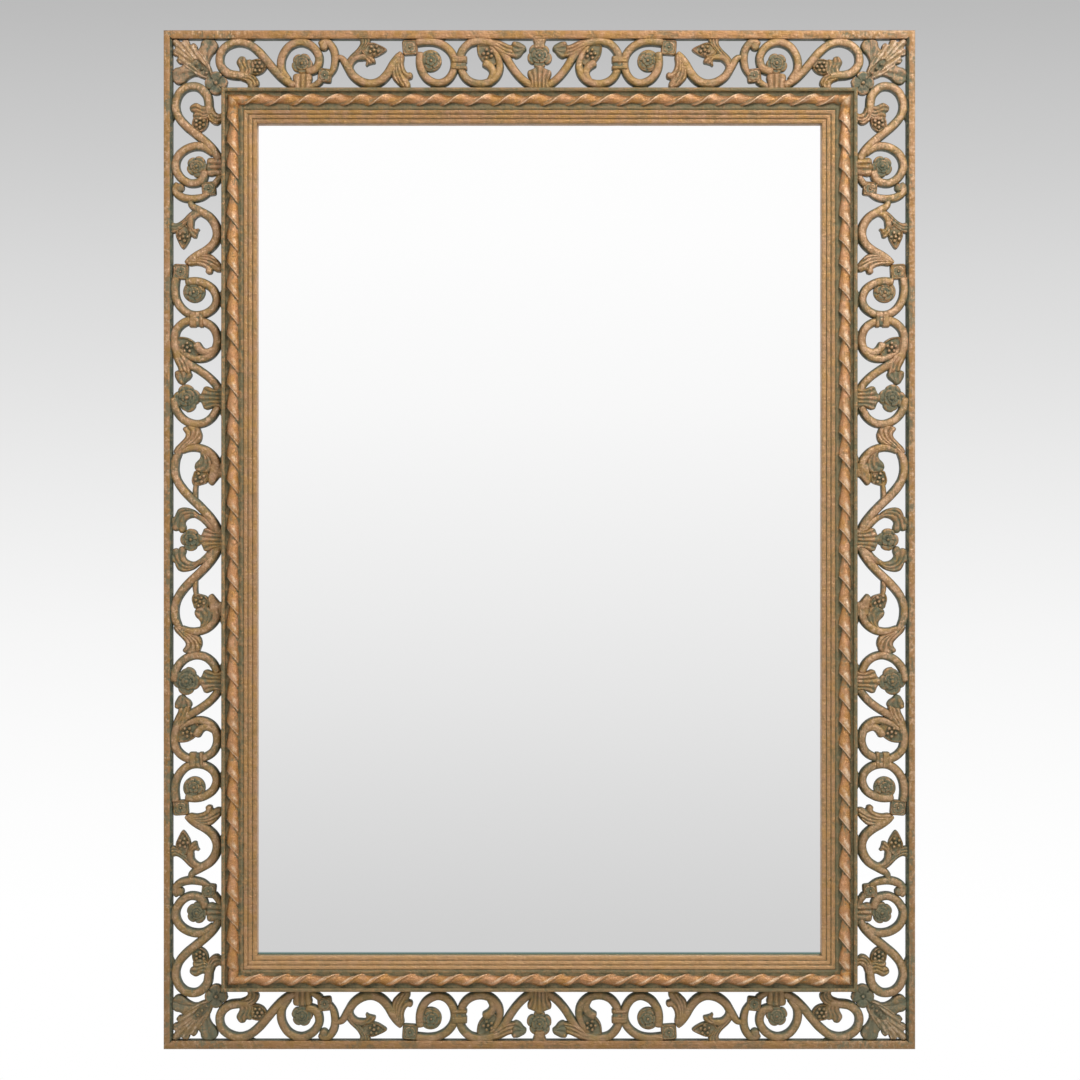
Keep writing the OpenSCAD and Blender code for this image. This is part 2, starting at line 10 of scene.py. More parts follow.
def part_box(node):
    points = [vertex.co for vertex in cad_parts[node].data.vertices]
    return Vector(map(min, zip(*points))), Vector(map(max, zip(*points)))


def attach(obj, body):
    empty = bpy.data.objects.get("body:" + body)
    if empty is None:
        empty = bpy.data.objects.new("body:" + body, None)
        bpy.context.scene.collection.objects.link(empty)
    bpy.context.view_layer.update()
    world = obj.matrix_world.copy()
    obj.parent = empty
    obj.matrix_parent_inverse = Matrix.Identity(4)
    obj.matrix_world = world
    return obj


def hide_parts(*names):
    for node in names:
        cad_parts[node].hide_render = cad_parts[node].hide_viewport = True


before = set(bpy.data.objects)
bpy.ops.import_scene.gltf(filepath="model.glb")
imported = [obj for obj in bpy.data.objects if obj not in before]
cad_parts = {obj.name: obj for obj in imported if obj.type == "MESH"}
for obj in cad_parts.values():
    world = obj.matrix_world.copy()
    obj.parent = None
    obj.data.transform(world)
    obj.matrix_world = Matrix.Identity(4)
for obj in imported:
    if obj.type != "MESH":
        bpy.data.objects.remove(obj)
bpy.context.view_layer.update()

mm = 0.001


def boxOf(node):
    # its lowest and highest corner in millimetres
    return [np.array(c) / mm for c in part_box(node)]


# What the frame says, in millimetres: w runs inward from the outer edge, d away from the wall.
rimLow, rimHigh = boxOf("rim_top")
mouldLow, mouldHigh = boxOf("moulding_top")
ropeLow, ropeHigh = boxOf("rope_top")
halfWide, halfHigh = rimHigh[0], rimHigh[2]
rimWide, rimFront, rimBack = rimHigh[2] - rimLow[2], -rimLow[1], -rimHigh[1]
mouldAt, mouldFront = halfHigh - mouldHigh[2], -mouldLow[1]
sightAt = halfHigh - mouldLow[2]
bandBack = -boxOf("scroll_top")[1][1]
ropeAt = halfHigh - (ropeLow[2] + ropeHigh[2]) / 2
ropeRadius = (ropeHigh[2] - ropeLow[2]) / 2
ropeDepth = -ropeLow[1] - ropeRadius
glassFront = -boxOf("mirror_glass")[0][1]
drawnBand, drawnMould = 53.2, 37.2  # the widths to which band and moulding are drawn below
bandScale = (mouldAt - rimWide) / drawnBand
mouldScale = (sightAt - mouldAt) / drawnMould
sideNames = ["top", "right", "bottom", "left"]
print("frame", round(halfWide * 2, 1), "by", round(halfHigh * 2, 1), "mm, sight edge at", round(sightAt, 1))


def halfRun(k):
    return halfWide if k % 2 == 0 else halfHigh


def halfOff(k):
    return halfHigh if k % 2 == 0 else halfWide


def onSide(k, s, w, d):
    # side k in metres: s along it from its middle, w inward, d from the wall
    s, w, d = np.broadcast_arrays(np.asarray(s, float), np.asarray(w, float), np.asarray(d, float))
    x, z = s, halfOff(k) - w
    across, up = [(x, z), (z, -x), (-x, -z), (-z, x)][k]
    return np.stack([across, -d, up], -1) * mm


def uneven(points, size, amount):
    # three crossed waves: the same small unevenness at the same place, whatever piece it falls on
    p = np.asarray(points) / (size * mm)
    x, y, z = p[..., 0], p[..., 1], p[..., 2]
    a = np.sin(x * 1.7 + 2.1 * np.sin(z * 0.9 + 1.3))
    b = np.sin(z * 1.9 + 1.7 * np.sin(x * 1.1 + 0.4) + y)
    c = np.sin(x * 4.1 - z * 3.3 + 0.6)
    return amount * (a + b + 0.6 * c) / 2.6


def linear(c):
    return c / 255 / 12.92 if c <= 10 else ((c / 255 + 0.055) / 1.055) ** 2.4


def srgb(r, g, b):
    # a screen colour as Blender's linear one
    return linear(r), linear(g), linear(b), 1.0


class Carving:
    # gathers closed shells into one mesh; rub is 1 on bare copper and 0 down in the patina
    def __init__(self):
        self.points, self.rubs, self.faces, self.slots, self.count = [], [], [], [], 0

    def add(self, points, faces, rubs, slot=0):
        points = np.asarray(points, float).reshape(-1, 3)
        self.points.append(points)
        self.rubs.append(np.broadcast_to(np.asarray(rubs, float).reshape(-1), (len(points),)))
        self.faces.extend([[self.count + int(i) for i in face] for face in faces])
        self.slots.extend([slot] * len(faces) if isinstance(slot, int) else list(slot))
        self.count += len(points)

    def build(self, name, materials, slotName, node, sharp=42):
        mesh = bpy.data.meshes.new(name)
        mesh.from_pydata(np.concatenate(self.points).tolist(), [], self.faces)
        for material in materials:
            mesh.materials.append(material)
        mesh.polygons.foreach_set("material_index", self.slots)
        rub = mesh.attributes.new("rub", "FLOAT", "POINT")
        rub.data.foreach_set("value", np.concatenate(self.rubs).astype(np.float32))
        work = bmesh.new()
        work.from_mesh(mesh)
        bmesh.ops.recalc_face_normals(work, faces=work.faces)
        work.to_mesh(mesh)
        work.free()
        mesh.shade_smooth()
        mesh.set_sharp_from_angle(angle=math.radians(sharp))
        piece = bpy.data.objects.new(name, mesh)
        bpy.context.collection.objects.link(piece)
        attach(piece, "frame")
        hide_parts(node)
        print("  built", name, len(mesh.polygons), "faces")


def fullTurn(count):
    return np.linspace(0, 2 * math.pi, count, endpoint=False)


def tubeFaces(rings, around):
    faces = []
    for low in range(0, (rings - 1) * around, around):
        for j in range(around):
            k = (j + 1) % around
            faces.append((low + j, low + k, low + around + k, low + around + j))
    return faces


def closedTube(rings, around):
    # the tube with a face over each end
    last = (rings - 1) * around
    return tubeFaces(rings, around) + [list(range(around)), list(range(last, last + around))]


def midway(a, b, c, d, t):
    # a smooth curve from b to c, with a and d as their neighbours
    bend = 2 * a - 5 * b + 4 * c - d
    return 0.5 * (2 * b + (c - a) * t + bend * t * t + (3 * b - a - 3 * c + d) * t ** 3)


def smoothLine(points, count):
    q = np.array(points, float)
    n = len(q)
    out = [midway(q[max(i - 1, 0)], q[i], q[i + 1], q[min(i + 2, n - 1)], t)
           for i in range(n - 1) for t in np.arange(count) / count]
    return np.array(out + [q[-1]])


def smoothLoop(points, count):
    q = np.array(points, float)
    n = len(q)
    return np.array([midway(q[i - 1], q[i], q[(i + 1) % n], q[(i + 2) % n], t)
                     for i in range(n) for t in np.arange(count) / count])


# Finishes


class Wire:
    # a socket that can stand in a sum
    def __init__(self, finish, socket):
        self.finish, self.socket = finish, socket

    def math(self, operation, other, swapped=False):
        pair = (other, self) if swapped else (self, other)
        return self.finish.node("Math", {"operation": operation}, dict(enumerate(pair)))

    def __add__(self, other):
        return self.math("ADD", other)

    def __sub__(self, other):
        return self.math("SUBTRACT", other)

    def __mul__(self, other):
        return self.math("MULTIPLY", other)

    def __radd__(self, other):
        return self.math("ADD", other, True)

    def __rsub__(self, other):
        return self.math("SUBTRACT", other, True)

    def __rmul__(self, other):
        return self.math("MULTIPLY", other, True)

    def ramp(self, low, high):
        return self.finish.node("MapRange", {"interpolation_type": "SMOOTHSTEP"},
                                {"Value": self, "From Min": low, "From Max": high})


class Finish:
    # a material or world whose nodes are written as sums
    def __init__(self, owner):
        owner.use_nodes = True
        self.tree = owner.node_tree
        self.tree.nodes.clear()

    def node(self, kind, settings=None, inputs=None, out=0):
        made = self.tree.nodes.new("ShaderNode" + kind)
        for key, value in (settings or {}).items():
            if key == "stops":
                while len(made.color_ramp.elements) < len(value):
                    made.color_ramp.elements.new(0.5)
                for stop, (at, grey) in zip(made.color_ramp.elements, value):
                    stop.position, stop.color = at, srgb(grey, grey, grey)
            else:
                setattr(made, key, value)
        for key, value in (inputs or {}).items():
            if isinstance(value, Wire):
                self.tree.links.new(value.socket, made.inputs[key])
            else:
                made.inputs[key].default_value = value
        return Wire(self, made.outputs[out]) if len(made.outputs) else None

    def axis(self, vector, i):
        return self.node("SeparateXYZ", {}, {0: vector}, i)

    def noise(self, place, scale, detail=3.0, rough=0.55):
        inputs = {"Vector": place, "Scale": scale, "Detail": detail, "Roughness": rough}
        return self.node("TexNoise", {}, inputs)

    def grain(self, place, x, y, z, detail, rough):
        # noise drawn out along one way
        drawn = self.node("Mapping", {}, {"Vector": place, "Scale": (x, y, z)})
        return self.noise(drawn, 1.0, detail, rough)

    def blend(self, low, high, share):
        return self.node("Mix", {"data_type": "RGBA"}, {6: low, 7: high, 0: share}, 2)

    def bump(self, height, distance, strength):
        inputs = {"Height": height, "Distance": distance, "Strength": strength}
        return self.node("Bump", {}, inputs, "Normal")

    def surface(self, **sockets):
        inputs = {key.replace("_", " "): value for key, value in sockets.items()}
        shader = self.node("BsdfPrincipled", {}, inputs)
        self.node("OutputMaterial", {}, {"Surface": shader})


def newFinish(name):
    # the material, its nodes and the place on the object
    material = bpy.data.materials.new(name)
    f = Finish(material)
    return material, f, f.node("TexCoord", out="Object")


# Copper rubbed over a green patina; the numbers are what a piece may change.
# rub runs from 0 in the hollows to 1 on bare copper, and on to 1.5, where the pale glow colour is laid on:
# burnished edges, and on the rope's ridges, lobes and knobs a painted highlight.
copperLook = {
    "copper": srgb(184, 141, 99), "ochre": srgb(180, 142, 84), "pink": srgb(200, 157, 124),
    "olive": srgb(126, 114, 76), "glow": srgb(234, 192, 152), "patina": srgb(134, 130, 101),
    "green": srgb(104, 117, 94), "deep": srgb(76, 80, 64),
    "cloud": 0.16, "speck": 0.28, "streak": 0.28,  # how much broad, small and fine wear there is
    "wear": 0.03, "fleck": 0.36, "lift": 0.0, "dull": 0.0, "dusk": 0.34, "shade": 0.0,
    "metal": 0.36, "gloss": 0.24}
# how fine each noise is, in waves a metre
copperScale = {"cloud": 34, "speck": 175, "fine": 400, "grit": 1100,
               "ochre": 48, "pink": 90, "fleck": 260, "green": 66}
# metres from the middle: where the sides begin, where the foot does, where the painted shade grows
# downward, and where the painted light and shade grow to the right
copperReach = {"sides": (0.285, 0.325), "foot": (0.4, 0.43), "dusk": (-0.1, 0.5), "right": (0.1, 0.36)}


def copperFinish(name, look):
    material, f, place = newFinish(name)
    scale, reach = copperScale, copperReach
    rub = f.node("Attribute", {"attribute_name": "rub"}, out=2)
    right, down = f.axis(place, 0), 0 - f.axis(place, 2)
    # the two upright sides are worn more unevenly than the top and bottom
    side = f.node("Math", {"operation": "ABSOLUTE"}, {0: right}).ramp(*reach["sides"])
    # the bottom band; the lower half, where shade is painted; and the right side, where light and shade are
    # painted
    foot, dusk, rightLightAndShade = down.ramp(*reach["foot"]), down.ramp(*reach["dusk"]), right.ramp(*reach["right"])
    gain = side * 0.95 + 0.65
    clouds = f.noise(place, scale["cloud"], 3, 0.6).ramp(0.34, 0.66) - 0.5
    spots = f.noise(place, scale["speck"], 4, 0.62).ramp(0.36, 0.64) - 0.5
    lines = f.blend(f.grain(place, 70, 420, 620, 4, 0.66), f.grain(place, 620, 420, 70, 4, 0.66), side)
    fine = (f.noise(place, scale["fine"], 4, 0.68) * 0.5 + lines * 0.5).ramp(0.38, 0.62) - 0.5
    grit = f.noise(place, scale["grit"], 2, 0.6) - 0.5
    wear = clouds * look["cloud"] + spots * look["speck"] + fine * look["streak"]
    # painted shade: less bare copper toward the bottom, and on the moulding toward the right
    worn = rub - dusk * look["dusk"] * 0.3 - rightLightAndShade * look["shade"] + wear * gain + look["wear"]
    bare = worn.ramp(0.16, 0.88)
    copper = f.blend(look["copper"], look["ochre"], f.noise(place, scale["ochre"], 3, 0.6).ramp(0.38, 0.62))
    copper = f.blend(copper, look["pink"], f.noise(place, scale["pink"], 4, 0.6).ramp(0.45, 0.66) * 0.7)
    tarnish = (0.5 - clouds * 0.8 - spots * 0.6 - fine * 0.4).ramp(0.4, 1.15)
    copper = f.blend(copper, look["olive"], tarnish * 0.6)
    flecks = f.noise(place, scale["fleck"], 4, 0.66).ramp(0.46, 0.68) * gain
    # the pale glow goes on rub above 1, and a little more toward the right as painted light
    shine = (rub + flecks * look["fleck"] + fine * 0.2 + rightLightAndShade * 0.14).ramp(1.0, 1.6)
    copper = f.blend(copper, look["glow"], shine * 0.8)
    # painted light: the moulding lightened toward the pale glow colour up the sides and along the bottom
    copper = f.blend(copper, look["glow"], (side + foot * 1.5 * (1 - side)) * look["lift"])
    # olive laid over the copper up the sides, and along and toward the bottom as painted shade
    copper = f.blend(copper, look["olive"], (side + foot) * look["dull"] + dusk * look["dusk"])
    patina = f.blend(look["deep"], look["patina"], (rub * 2.2 + fine * 0.5 + spots * 0.5).ramp(-0.1, 0.55))
    patina = f.blend(patina, look["green"], f.noise(place, scale["green"], 3, 0.5).ramp(0.44, 0.62) * 0.4)
    rough = 0.58 - bare * look["gloss"] + grit * 0.14
    normal = f.bump(spots * 0.8 + fine * 0.5 + grit * 0.2, 0.0007, 0.7)
    colour = f.blend(patina, copper, bare)
    f.surface(Base_Color=colour, Metallic=bare * look["metal"], Roughness=rough, Normal=normal)
    return material


rimLook = copperLook | {
    "copper": srgb(188, 136, 85), "ochre": srgb(182, 134, 72), "pink": srgb(200, 150, 110),
    "olive": srgb(124, 106, 72), "speck": 0.3, "cloud": 0.24, "wear": -0.04, "dull": 0.16, "dusk": 0.12}
ropeLook = copperLook | {
    "copper": srgb(200, 143, 94), "ochre": srgb(196, 141, 76), "pink": srgb(216, 162, 122),
    "olive": srgb(172, 126, 78), "glow": srgb(255, 227, 192), "wear": 0.1, "fleck": 0.1, "dusk": 0.0,
    "gloss": 0.32, "metal": 0.4}
mouldLook = copperLook | {
    "copper": srgb(184, 138, 92), "ochre": srgb(188, 142, 80), "pink": srgb(186, 144, 112),
    "olive": srgb(150, 122, 80), "glow": srgb(210, 166, 116), "patina": srgb(132, 122, 88),
    "green": srgb(112, 114, 82), "deep": srgb(86, 82, 60), "speck": 0.24, "streak": 0.34, "cloud": 0.1,
    "lift": 0.4, "dusk": 0.0, "shade": 0.13}
leafLook = copperLook | {
    "copper": srgb(186, 148, 112), "ochre": srgb(178, 142, 96), "glow": srgb(240, 210, 178),
    "patina": srgb(130, 125, 99), "dusk": 0.4}
scrollFinish = copperFinish("scrollCopper", copperLook)
rimFinish = copperFinish("rimCopper", rimLook)
ropeFinish = copperFinish("ropeCopper", ropeLook)
mouldFinish = copperFinish("mouldingBronze", mouldLook)
leafFinish = copperFinish("leafVerdigris", leafLook)


woodLook = {"dark": srgb(58, 42, 30), "light": srgb(96, 72, 50)}


def darkWoodFinish():
    # the grain runs along each length, so both ways are mixed
    material, f, place = newFinish("backWood")
    grain = f.grain(place, 30, 30, 260, 5, 0.6)
    cross = f.grain(place, 260, 30, 30, 5, 0.6)
    pores = f.noise(place, 700, 3, 0.6)
    colour = f.blend(woodLook["dark"], woodLook["light"], (grain * 0.5 + cross * 0.5).ramp(0.35, 0.65))
    normal = f.bump(grain + pores * 0.4, 0.0006, 0.5)
    f.surface(Base_Color=colour, Roughness=0.72 + (pores - 0.5) * 0.2, Normal=normal)
    return material


backWood = darkWoodFinish()

silverLook = {"silver": srgb(254, 254, 254), "edge": srgb(98, 140, 134), "start": 0.0016, "end": 0.0034}


def silverFinish():
    # the silvering, with the greenish edge of the plate along the lower sight line
    material, f, place = newFinish("mirrorSilver")
    low = -(halfHigh - sightAt) * mm
    edge = 1 - f.axis(place, 2).ramp(low + silverLook["start"], low + silverLook["end"])
    haze = f.noise(place, 3.0, 2, 0.5)
    colour = f.blend(silverLook["silver"], silverLook["edge"], edge * 0.9)
    f.surface(Base_Color=colour, Metallic=1.0, Roughness=haze * 0.004 + 0.002)
    return material


boardLook = {"dark": srgb(128, 94, 62), "light": srgb(156, 119, 82), "fleck": srgb(92, 66, 44)}


def boardFinish():
    # pressed fibre board
    material, f, place = newFinish("boardBrown")
    fibre = f.grain(place, 420, 60, 900, 5, 0.7)
    mottle = f.noise(place, 150, 5, 0.7)
    flecks = f.node("TexVoronoi", {}, {"Vector": place, "Scale": 700}, "Distance").ramp(0.0, 0.5)
    colour = f.blend(boardLook["dark"], boardLook["light"], (mottle * 0.5 + fibre * 0.5).ramp(0.32, 0.68))
    colour = f.blend(colour, boardLook["fleck"], (1 - flecks) * 0.35)
    normal = f.bump(fibre + mottle, 0.0004, 0.6)
    f.surface(Base_Color=colour, Roughness=0.8 + (fibre - 0.5) * 0.2, Normal=normal)
    return material


def metalFinish(name, pale, dull, gloss, brushed):
    # plated hardware: brush lines, dull spots and a little darkening
    material, f, place = newFinish(name)
    lines = f.grain(place, 300, 300, 3200, 3, 0.6)
    spots = f.noise(place, 160, 5, 0.65).ramp(0.45, 0.72)
    colour = f.blend(pale, dull, spots * 0.7 + (lines - 0.5) * 0.3)
    normal = f.bump(lines * brushed + spots * 0.3, 0.0002, 0.35)
    rough = gloss + spots * 0.16 + (lines - 0.5) * 0.1
    f.surface(Base_Color=colour, Metallic=1.0, Roughness=rough, Normal=normal)
    return material


rubberLook = {"black": srgb(34, 33, 32), "dust": srgb(70, 67, 63)}


def rubberFinish():
    material, f, place = newFinish("bumperRubber")
    dust = f.noise(place, 240, 5, 0.6).ramp(0.5, 0.75)
    colour = f.blend(rubberLook["black"], rubberLook["dust"], dust * 0.6)
    normal = f.bump(f.noise(place, 1500, 3, 0.6), 0.0002, 0.6)
    f.surface(Base_Color=colour, Roughness=0.72 + dust * 0.15, Normal=normal)
    return material


print("finishes ready")


def unit(x):
    return np.clip(x, 0, 1)


def bell(x, width):
    return np.exp(-(x / width) ** 2)


def eased(t):
    return t * t * (3 - 2 * t)


# Rails: the rim and the inner moulding, swept along each side to its mitres
rimWork = {"wave": 0.22, "step": 4.0, "wood": 3, "round": 1.1, "lap": 0.8}
mouldWork = {"wave": 0.10, "step": 6.0, "wood": 1, "trough": 4, "rebate": 29.2, "groove": 0.41,
             "lowGroove": 0.62}
mitreCalm = 60  # millimetres from a mitre over which the waves fade


def rail(k, profile, work):
    # profile: w, d and rub of each point round the section; at the back it is bare wood
    prof = np.array(profile)
    around, wave = len(prof), work["wave"]
    count = int(2 * halfRun(k) / work["step"])
    t = np.linspace(-1, 1, count + 1)[:, None]
    s = t * (halfRun(k) - prof[None, :, 0])
    w, d = np.broadcast_to(prof[None, :, 0], s.shape), np.broadcast_to(prof[None, :, 1], s.shape)
    there = onSide(k, s, w, d)
    # the mitres and the hidden points stay where they are
    calm = unit((halfRun(k) - np.abs(s)) / mitreCalm - 0.15) * (prof[None, :, 2] > 0.02)
    w = w + uneven(there, 9, wave * 0.6) * calm * (prof[None, :, 0] > prof[:, 0].min() + 0.05)
    d = d - (uneven(there, 7, wave) + wave) * calm
    wood = rimBack + work["wood"]
    wooden = [int(max(profile[j][1], profile[(j + 1) % around][1]) < wood) for j in range(around)]
    carving = Carving()
    rubs = prof[None, :, 2] + 0 * s
    carving.add(onSide(k, s, w, d), closedTube(count + 1, around), rubs, wooden * count + [1, 1])
    return carving


def arc(w, d, radius, start, end, count, rub):
    turns = [math.radians(a) for a in np.linspace(start, end, count)]
    return [(w + radius * math.cos(a), d + radius * math.sin(a), rub) for a in turns]


def rimProfile(k):
    # a flat face with small rounded edges that laps over the band; up the sides its inner edge slopes back
    # further and is painted dark, as painted shade
    r, f, wide = rimWork["round"], rimFront, rimWide + rimWork["lap"]
    outer = [(0, rimBack, 0), (0, rimBack + 6, 0.1), (0, f - 5, 0.3), (0, f - r - 0.6, 0.7)]
    outer += arc(r, f - r - 0.25, r, 165, 100, 4, 1.05)
    face = [(2.4, f - 0.1, 0.96), (4.4, f - 0.02, 0.9), (5.9, f - 0.1, 0.94)]
    if k % 2:
        inner = [(6.4, f - 0.4, 0.6), (6.8, f - 1.3, 0.06), (wide, f - 3.1, 0.0)]
    else:
        inner = arc(wide - r, f - r - 0.3, r, 80, 0, 5, 0.98) + [(wide, f - 2.4, 0.3)]
    return outer + face + inner + [(rimWide, f - 3.3, 0.1), (rimWide, f - 8, 0.0), (rimWide, rimBack, 0)]


def flatRib(start, end, d, rub):
    # a low rib with softened edges that falls a little toward the glass
    return [(start, d - 0.65, 0.3), (start + 0.12, d - 0.3, rub * 0.8), (start + 0.5, d - 0.06, rub),
            (start + 1.3, d + 0.05, rub), ((start + end) / 2, d, rub * 0.94), (end - 1.2, d - 0.12, rub),
            (end - 0.45, d - 0.32, rub * 1.1), (end - 0.12, d - 0.6, rub * 0.8), (end, d - 0.9, 0.3)]


def mouldProfile(k):
    # a lip, the trough of the rope, and three ribs whose grooves are lighter along the bottom
    f, bed = mouldFront, mouldFront - mouldWork["trough"]
    groove = mouldWork["lowGroove"] if k == 2 else mouldWork["groove"]
    points = [(0, rimBack, 0), (0, f - 9, 0.1), (0, f - 1.6, 0.3), (0.2, f - 0.75, 0.4),
              (0.7, f - 0.25, 0.56), (1.7, f - 0.1, 0.4), (2.9, f - 0.15, 0.38), (3.6, f - 0.5, 0.5),
              (4.1, f - 1.9, 0.2)]
    trough = [(4.6, 0.5, 0.14), (5.6, 0, 0.22), (8, 0, 0.18), (12.5, 0, 0.16), (17, 0, 0.18),
              (18.4, 0, 0.22), (19.3, 0.1, 0.26), (19.9, 0.4, 0.34), (20.8, 0.5, 0.4), (21.7, 0.4, 0.36),
              (22.3, 0.1, 0.3), (22.7, -0.4, 0.2), (22.95, -0.45, 0.2)]
    points += [(w, bed + rise, rub) for w, rise, rub in trough]
    points += flatRib(23.1, 27.2, bed + 0.35, 0.94)
    points += [(27.35, bed - 0.75, groove), (27.6, bed - 0.85, groove)]
    points += flatRib(27.8, 31.9, bed - 0.45, 0.98)
    points += [(32.05, bed - 1.6, groove), (32.3, bed - 1.7, groove)]
    points += flatRib(32.5, 37.0, bed - 1.2, 1.06)
    points += [(drawnMould, bed - 3.0, 1.0), (drawnMould, bed - 6, 1.0), (drawnMould, glassFront, 0.8),
               (mouldWork["rebate"], glassFront, 0), (mouldWork["rebate"], rimBack, 0)]
    return [(mouldAt + w * mouldScale, d, rub) for w, d, rub in points]


for k, name in enumerate(sideNames):
    rim, mould = "rim_" + name, "moulding_" + name
    carving = rail(k, rimProfile(k), rimWork)
    carving.build(rim + "_copper", [rimFinish, backWood], "rim_copper", rim)
    carving = rail(k, mouldProfile(k), mouldWork)
    carving.build(mould + "_bronze", [mouldFinish, backWood], "moulding_bronze", mould)
print("rails done")


# Rope: twisted hard along the top and bottom, carved in leaning lobes up the sides, a knob at each corner.
# The lists go by side; turn is the phase of the twist; the three lists after it are painted highlights on
# and beside the ridges, and painted light above and shade below on the bottom rope.
ropeWork = {"pitch": [26.0, 25.2, 26.0, 25.2], "turn": [1.79, 0.12, 1.79, 0.12], "crestHighlight": [0.5, 0, 0.28, 0],
            "sheenHighlight": [0.3, 0, 0.6, 0], "upperLightLowerShade": [0, 0, 0.26, 0], "thin": 0.58, "around": 44, "step": 0.8,
            "elbow": 8.0, "slant": 0.55, "lean": 0.17, "swell": 1.14, "knob": 5.5, "waist": (9.5, 2.2)}


def barTwist(angle, along, pitch, k):
    # a lens for the section: two arcs that meet in the ridges, with a painted highlight on each ridge and
    # beside it, and on the bottom rope painted light on the upper half and painted shade on the lower
    turned = math.pi * along / pitch - ropeWork["turn"][k] - 0.12 * np.sin(2.3 * along / pitch)
    phi = angle - math.pi / 2 - turned - 0.08 * np.sin(2 * turned)
    thin = ropeWork["thin"]
    centre, reach = (1 / thin - thin) / 2, (1 / thin + thin) / 2
    lens = np.sqrt(reach * reach - (centre * np.cos(phi)) ** 2) - centre * np.abs(np.sin(phi))
    lens = np.minimum(lens, 0.975)
    turn = ((phi / math.pi + 0.5) % 1) - 0.5
    crest, under, sheen = bell(turn, 0.075), bell(turn - 0.14, 0.07), bell(turn + 0.17, 0.1)
    rubs = 0.82 + ropeWork["crestHighlight"][k] * crest - 0.4 * under + ropeWork["sheenHighlight"][k] * sheen
    return lens + 0.03 * crest - 0.08 * under, 0.0 * lens, rubs + ropeWork["upperLightLowerShade"][k] * np.cos(angle)


def lobeTwist(angle, down, right, pitch, k):
    # lobes that swell downward to a ridge and lean to the left; the ridge and a patch low in each lobe,
    # toward its right, carry a painted highlight
    q = (down / pitch - ropeWork["slant"] * right / 2 + ropeWork["turn"][k]) % 1.0
    swell = eased(unit(q / 0.82)) * unit((0.995 - q) / 0.075) ** 0.6
    crest, groove = bell(q - 0.915, 0.035), bell(np.minimum(q, 1 - q), 0.06)
    share = 0.66 + 0.32 * swell - 0.03 * groove
    sheen = bell(q - 0.68, 0.14) * bell(right - 0.3, 0.5)
    lean = ropeWork["lean"] * (0.5 - q) * 2 * unit(np.minimum(q, 1 - q) * 12)
    return share, lean, 0.76 + 0.16 * swell + 0.56 * crest - 0.6 * groove + 0.42 * sheen


def rope(k):
    work, upright = ropeWork, k % 2
    run = halfRun(k) - ropeAt
    twisted = 2 * (run - ropeRadius)
    pitch = twisted / round(twisted / work["pitch"][k])
    count = int(2 * run / work["step"])
    t = np.linspace(-1, 1, count + 1)[:, None]
    # the part above the bed is divided more finely
    angle = fullTurn(work["around"])[None, :]
    angle = angle - 0.35 * np.sin(angle - math.pi / 2)
    along = t * (run - ropeRadius * np.cos(angle))
    if upright:
        sense = 1 if k == 3 else -1
        share, lean, rubs = lobeTwist(angle, -sense * along, sense * np.cos(angle), pitch, k)
        lean = lean * sense
    else:
        share, lean, rubs = barTwist(angle, along, pitch, k)
    # plain toward the corners
    twist = eased(unit((run - np.abs(along) - ropeRadius * 1.1) / work["elbow"]))
    radius = ropeRadius * work["swell"] * (twist * share + (1 - twist) * (0.84 + 0.06 * upright))
    w = ropeAt + radius * np.cos(angle) + lean * twist * ropeRadius
    d = ropeDepth - 0.6 + radius * np.sin(angle)
    s = t * (halfRun(k) - w)
    low = unit((d - ropeDepth) / ropeRadius * 1.8 + 0.55)
    # the knob where two lengths meet
    away = np.sqrt((halfRun(k) - np.abs(s) - ropeAt) ** 2 + (w - ropeAt) ** 2)
    knob, (off, wide) = bell(away, work["knob"]), work["waist"]
    waist = bell(away - off, wide) * (0.5 + 0.5 * upright)
    d = d + (1.0 * knob - 1.0 * waist) * unit(np.sin(angle))
    # the knob is rubbed brighter, as a painted highlight
    rubs = (twist * rubs + (1 - twist) * (0.66 + 0.2 * upright) + 0.42 * knob - 0.25 * waist) * low
    carving = Carving()
    carving.add(onSide(k, s, w, d), closedTube(count + 1, work["around"]), rubs)
    name = sideNames[k]
    carving.build("rope_" + name + "_twist", [ropeFinish], "rope_copper", "rope_" + name, 60)


for k in range(4):
    rope(k)
print("rope done")


# Scrollwork, in band units: u from the corner along the side, v from the outer edge inward
cornerU, rimV = 62, 8
middleU = [384.5, 533.5]  # along the top and bottom, and up the sides


def across(v):
    return rimWide + (v - rimV) * bandScale


def toBand(k, points):
    # side 4 is the corner piece, which keeps its shape
    p = np.asarray(points, float)
    start = across(cornerU)
    stretch = bandScale if k > 3 else (halfRun(k) - start) / (middleU[k % 2] - cornerU)
    along = np.where(p[:, 0] < cornerU, across(p[:, 0]), start + (p[:, 0] - cornerU) * stretch)
    return np.stack([along, across(p[:, 1])], 1)


def spot(k, c):
    return toBand(k, [c])[0]


strapWork = {"width": 8.8, "crest": 25.3, "shoulder": 20.8, "samples": 7, "caps": (78, 52, 26)}
# across, height between shoulder and crest, rub
strapSection = [(-1.07, -1.0, 0.0), (-1.02, -0.1, 0.0), (-0.99, 0.18, 0.05), (-0.95, 0.42, 0.16),
                (-0.87, 0.66, 0.4), (-0.72, 0.84, 0.74), (-0.42, 0.965, 1.02), (0.0, 1.0, 1.04)]
strapSection += [(-x, h, rub) for x, h, rub in strapSection[-2::-1]]


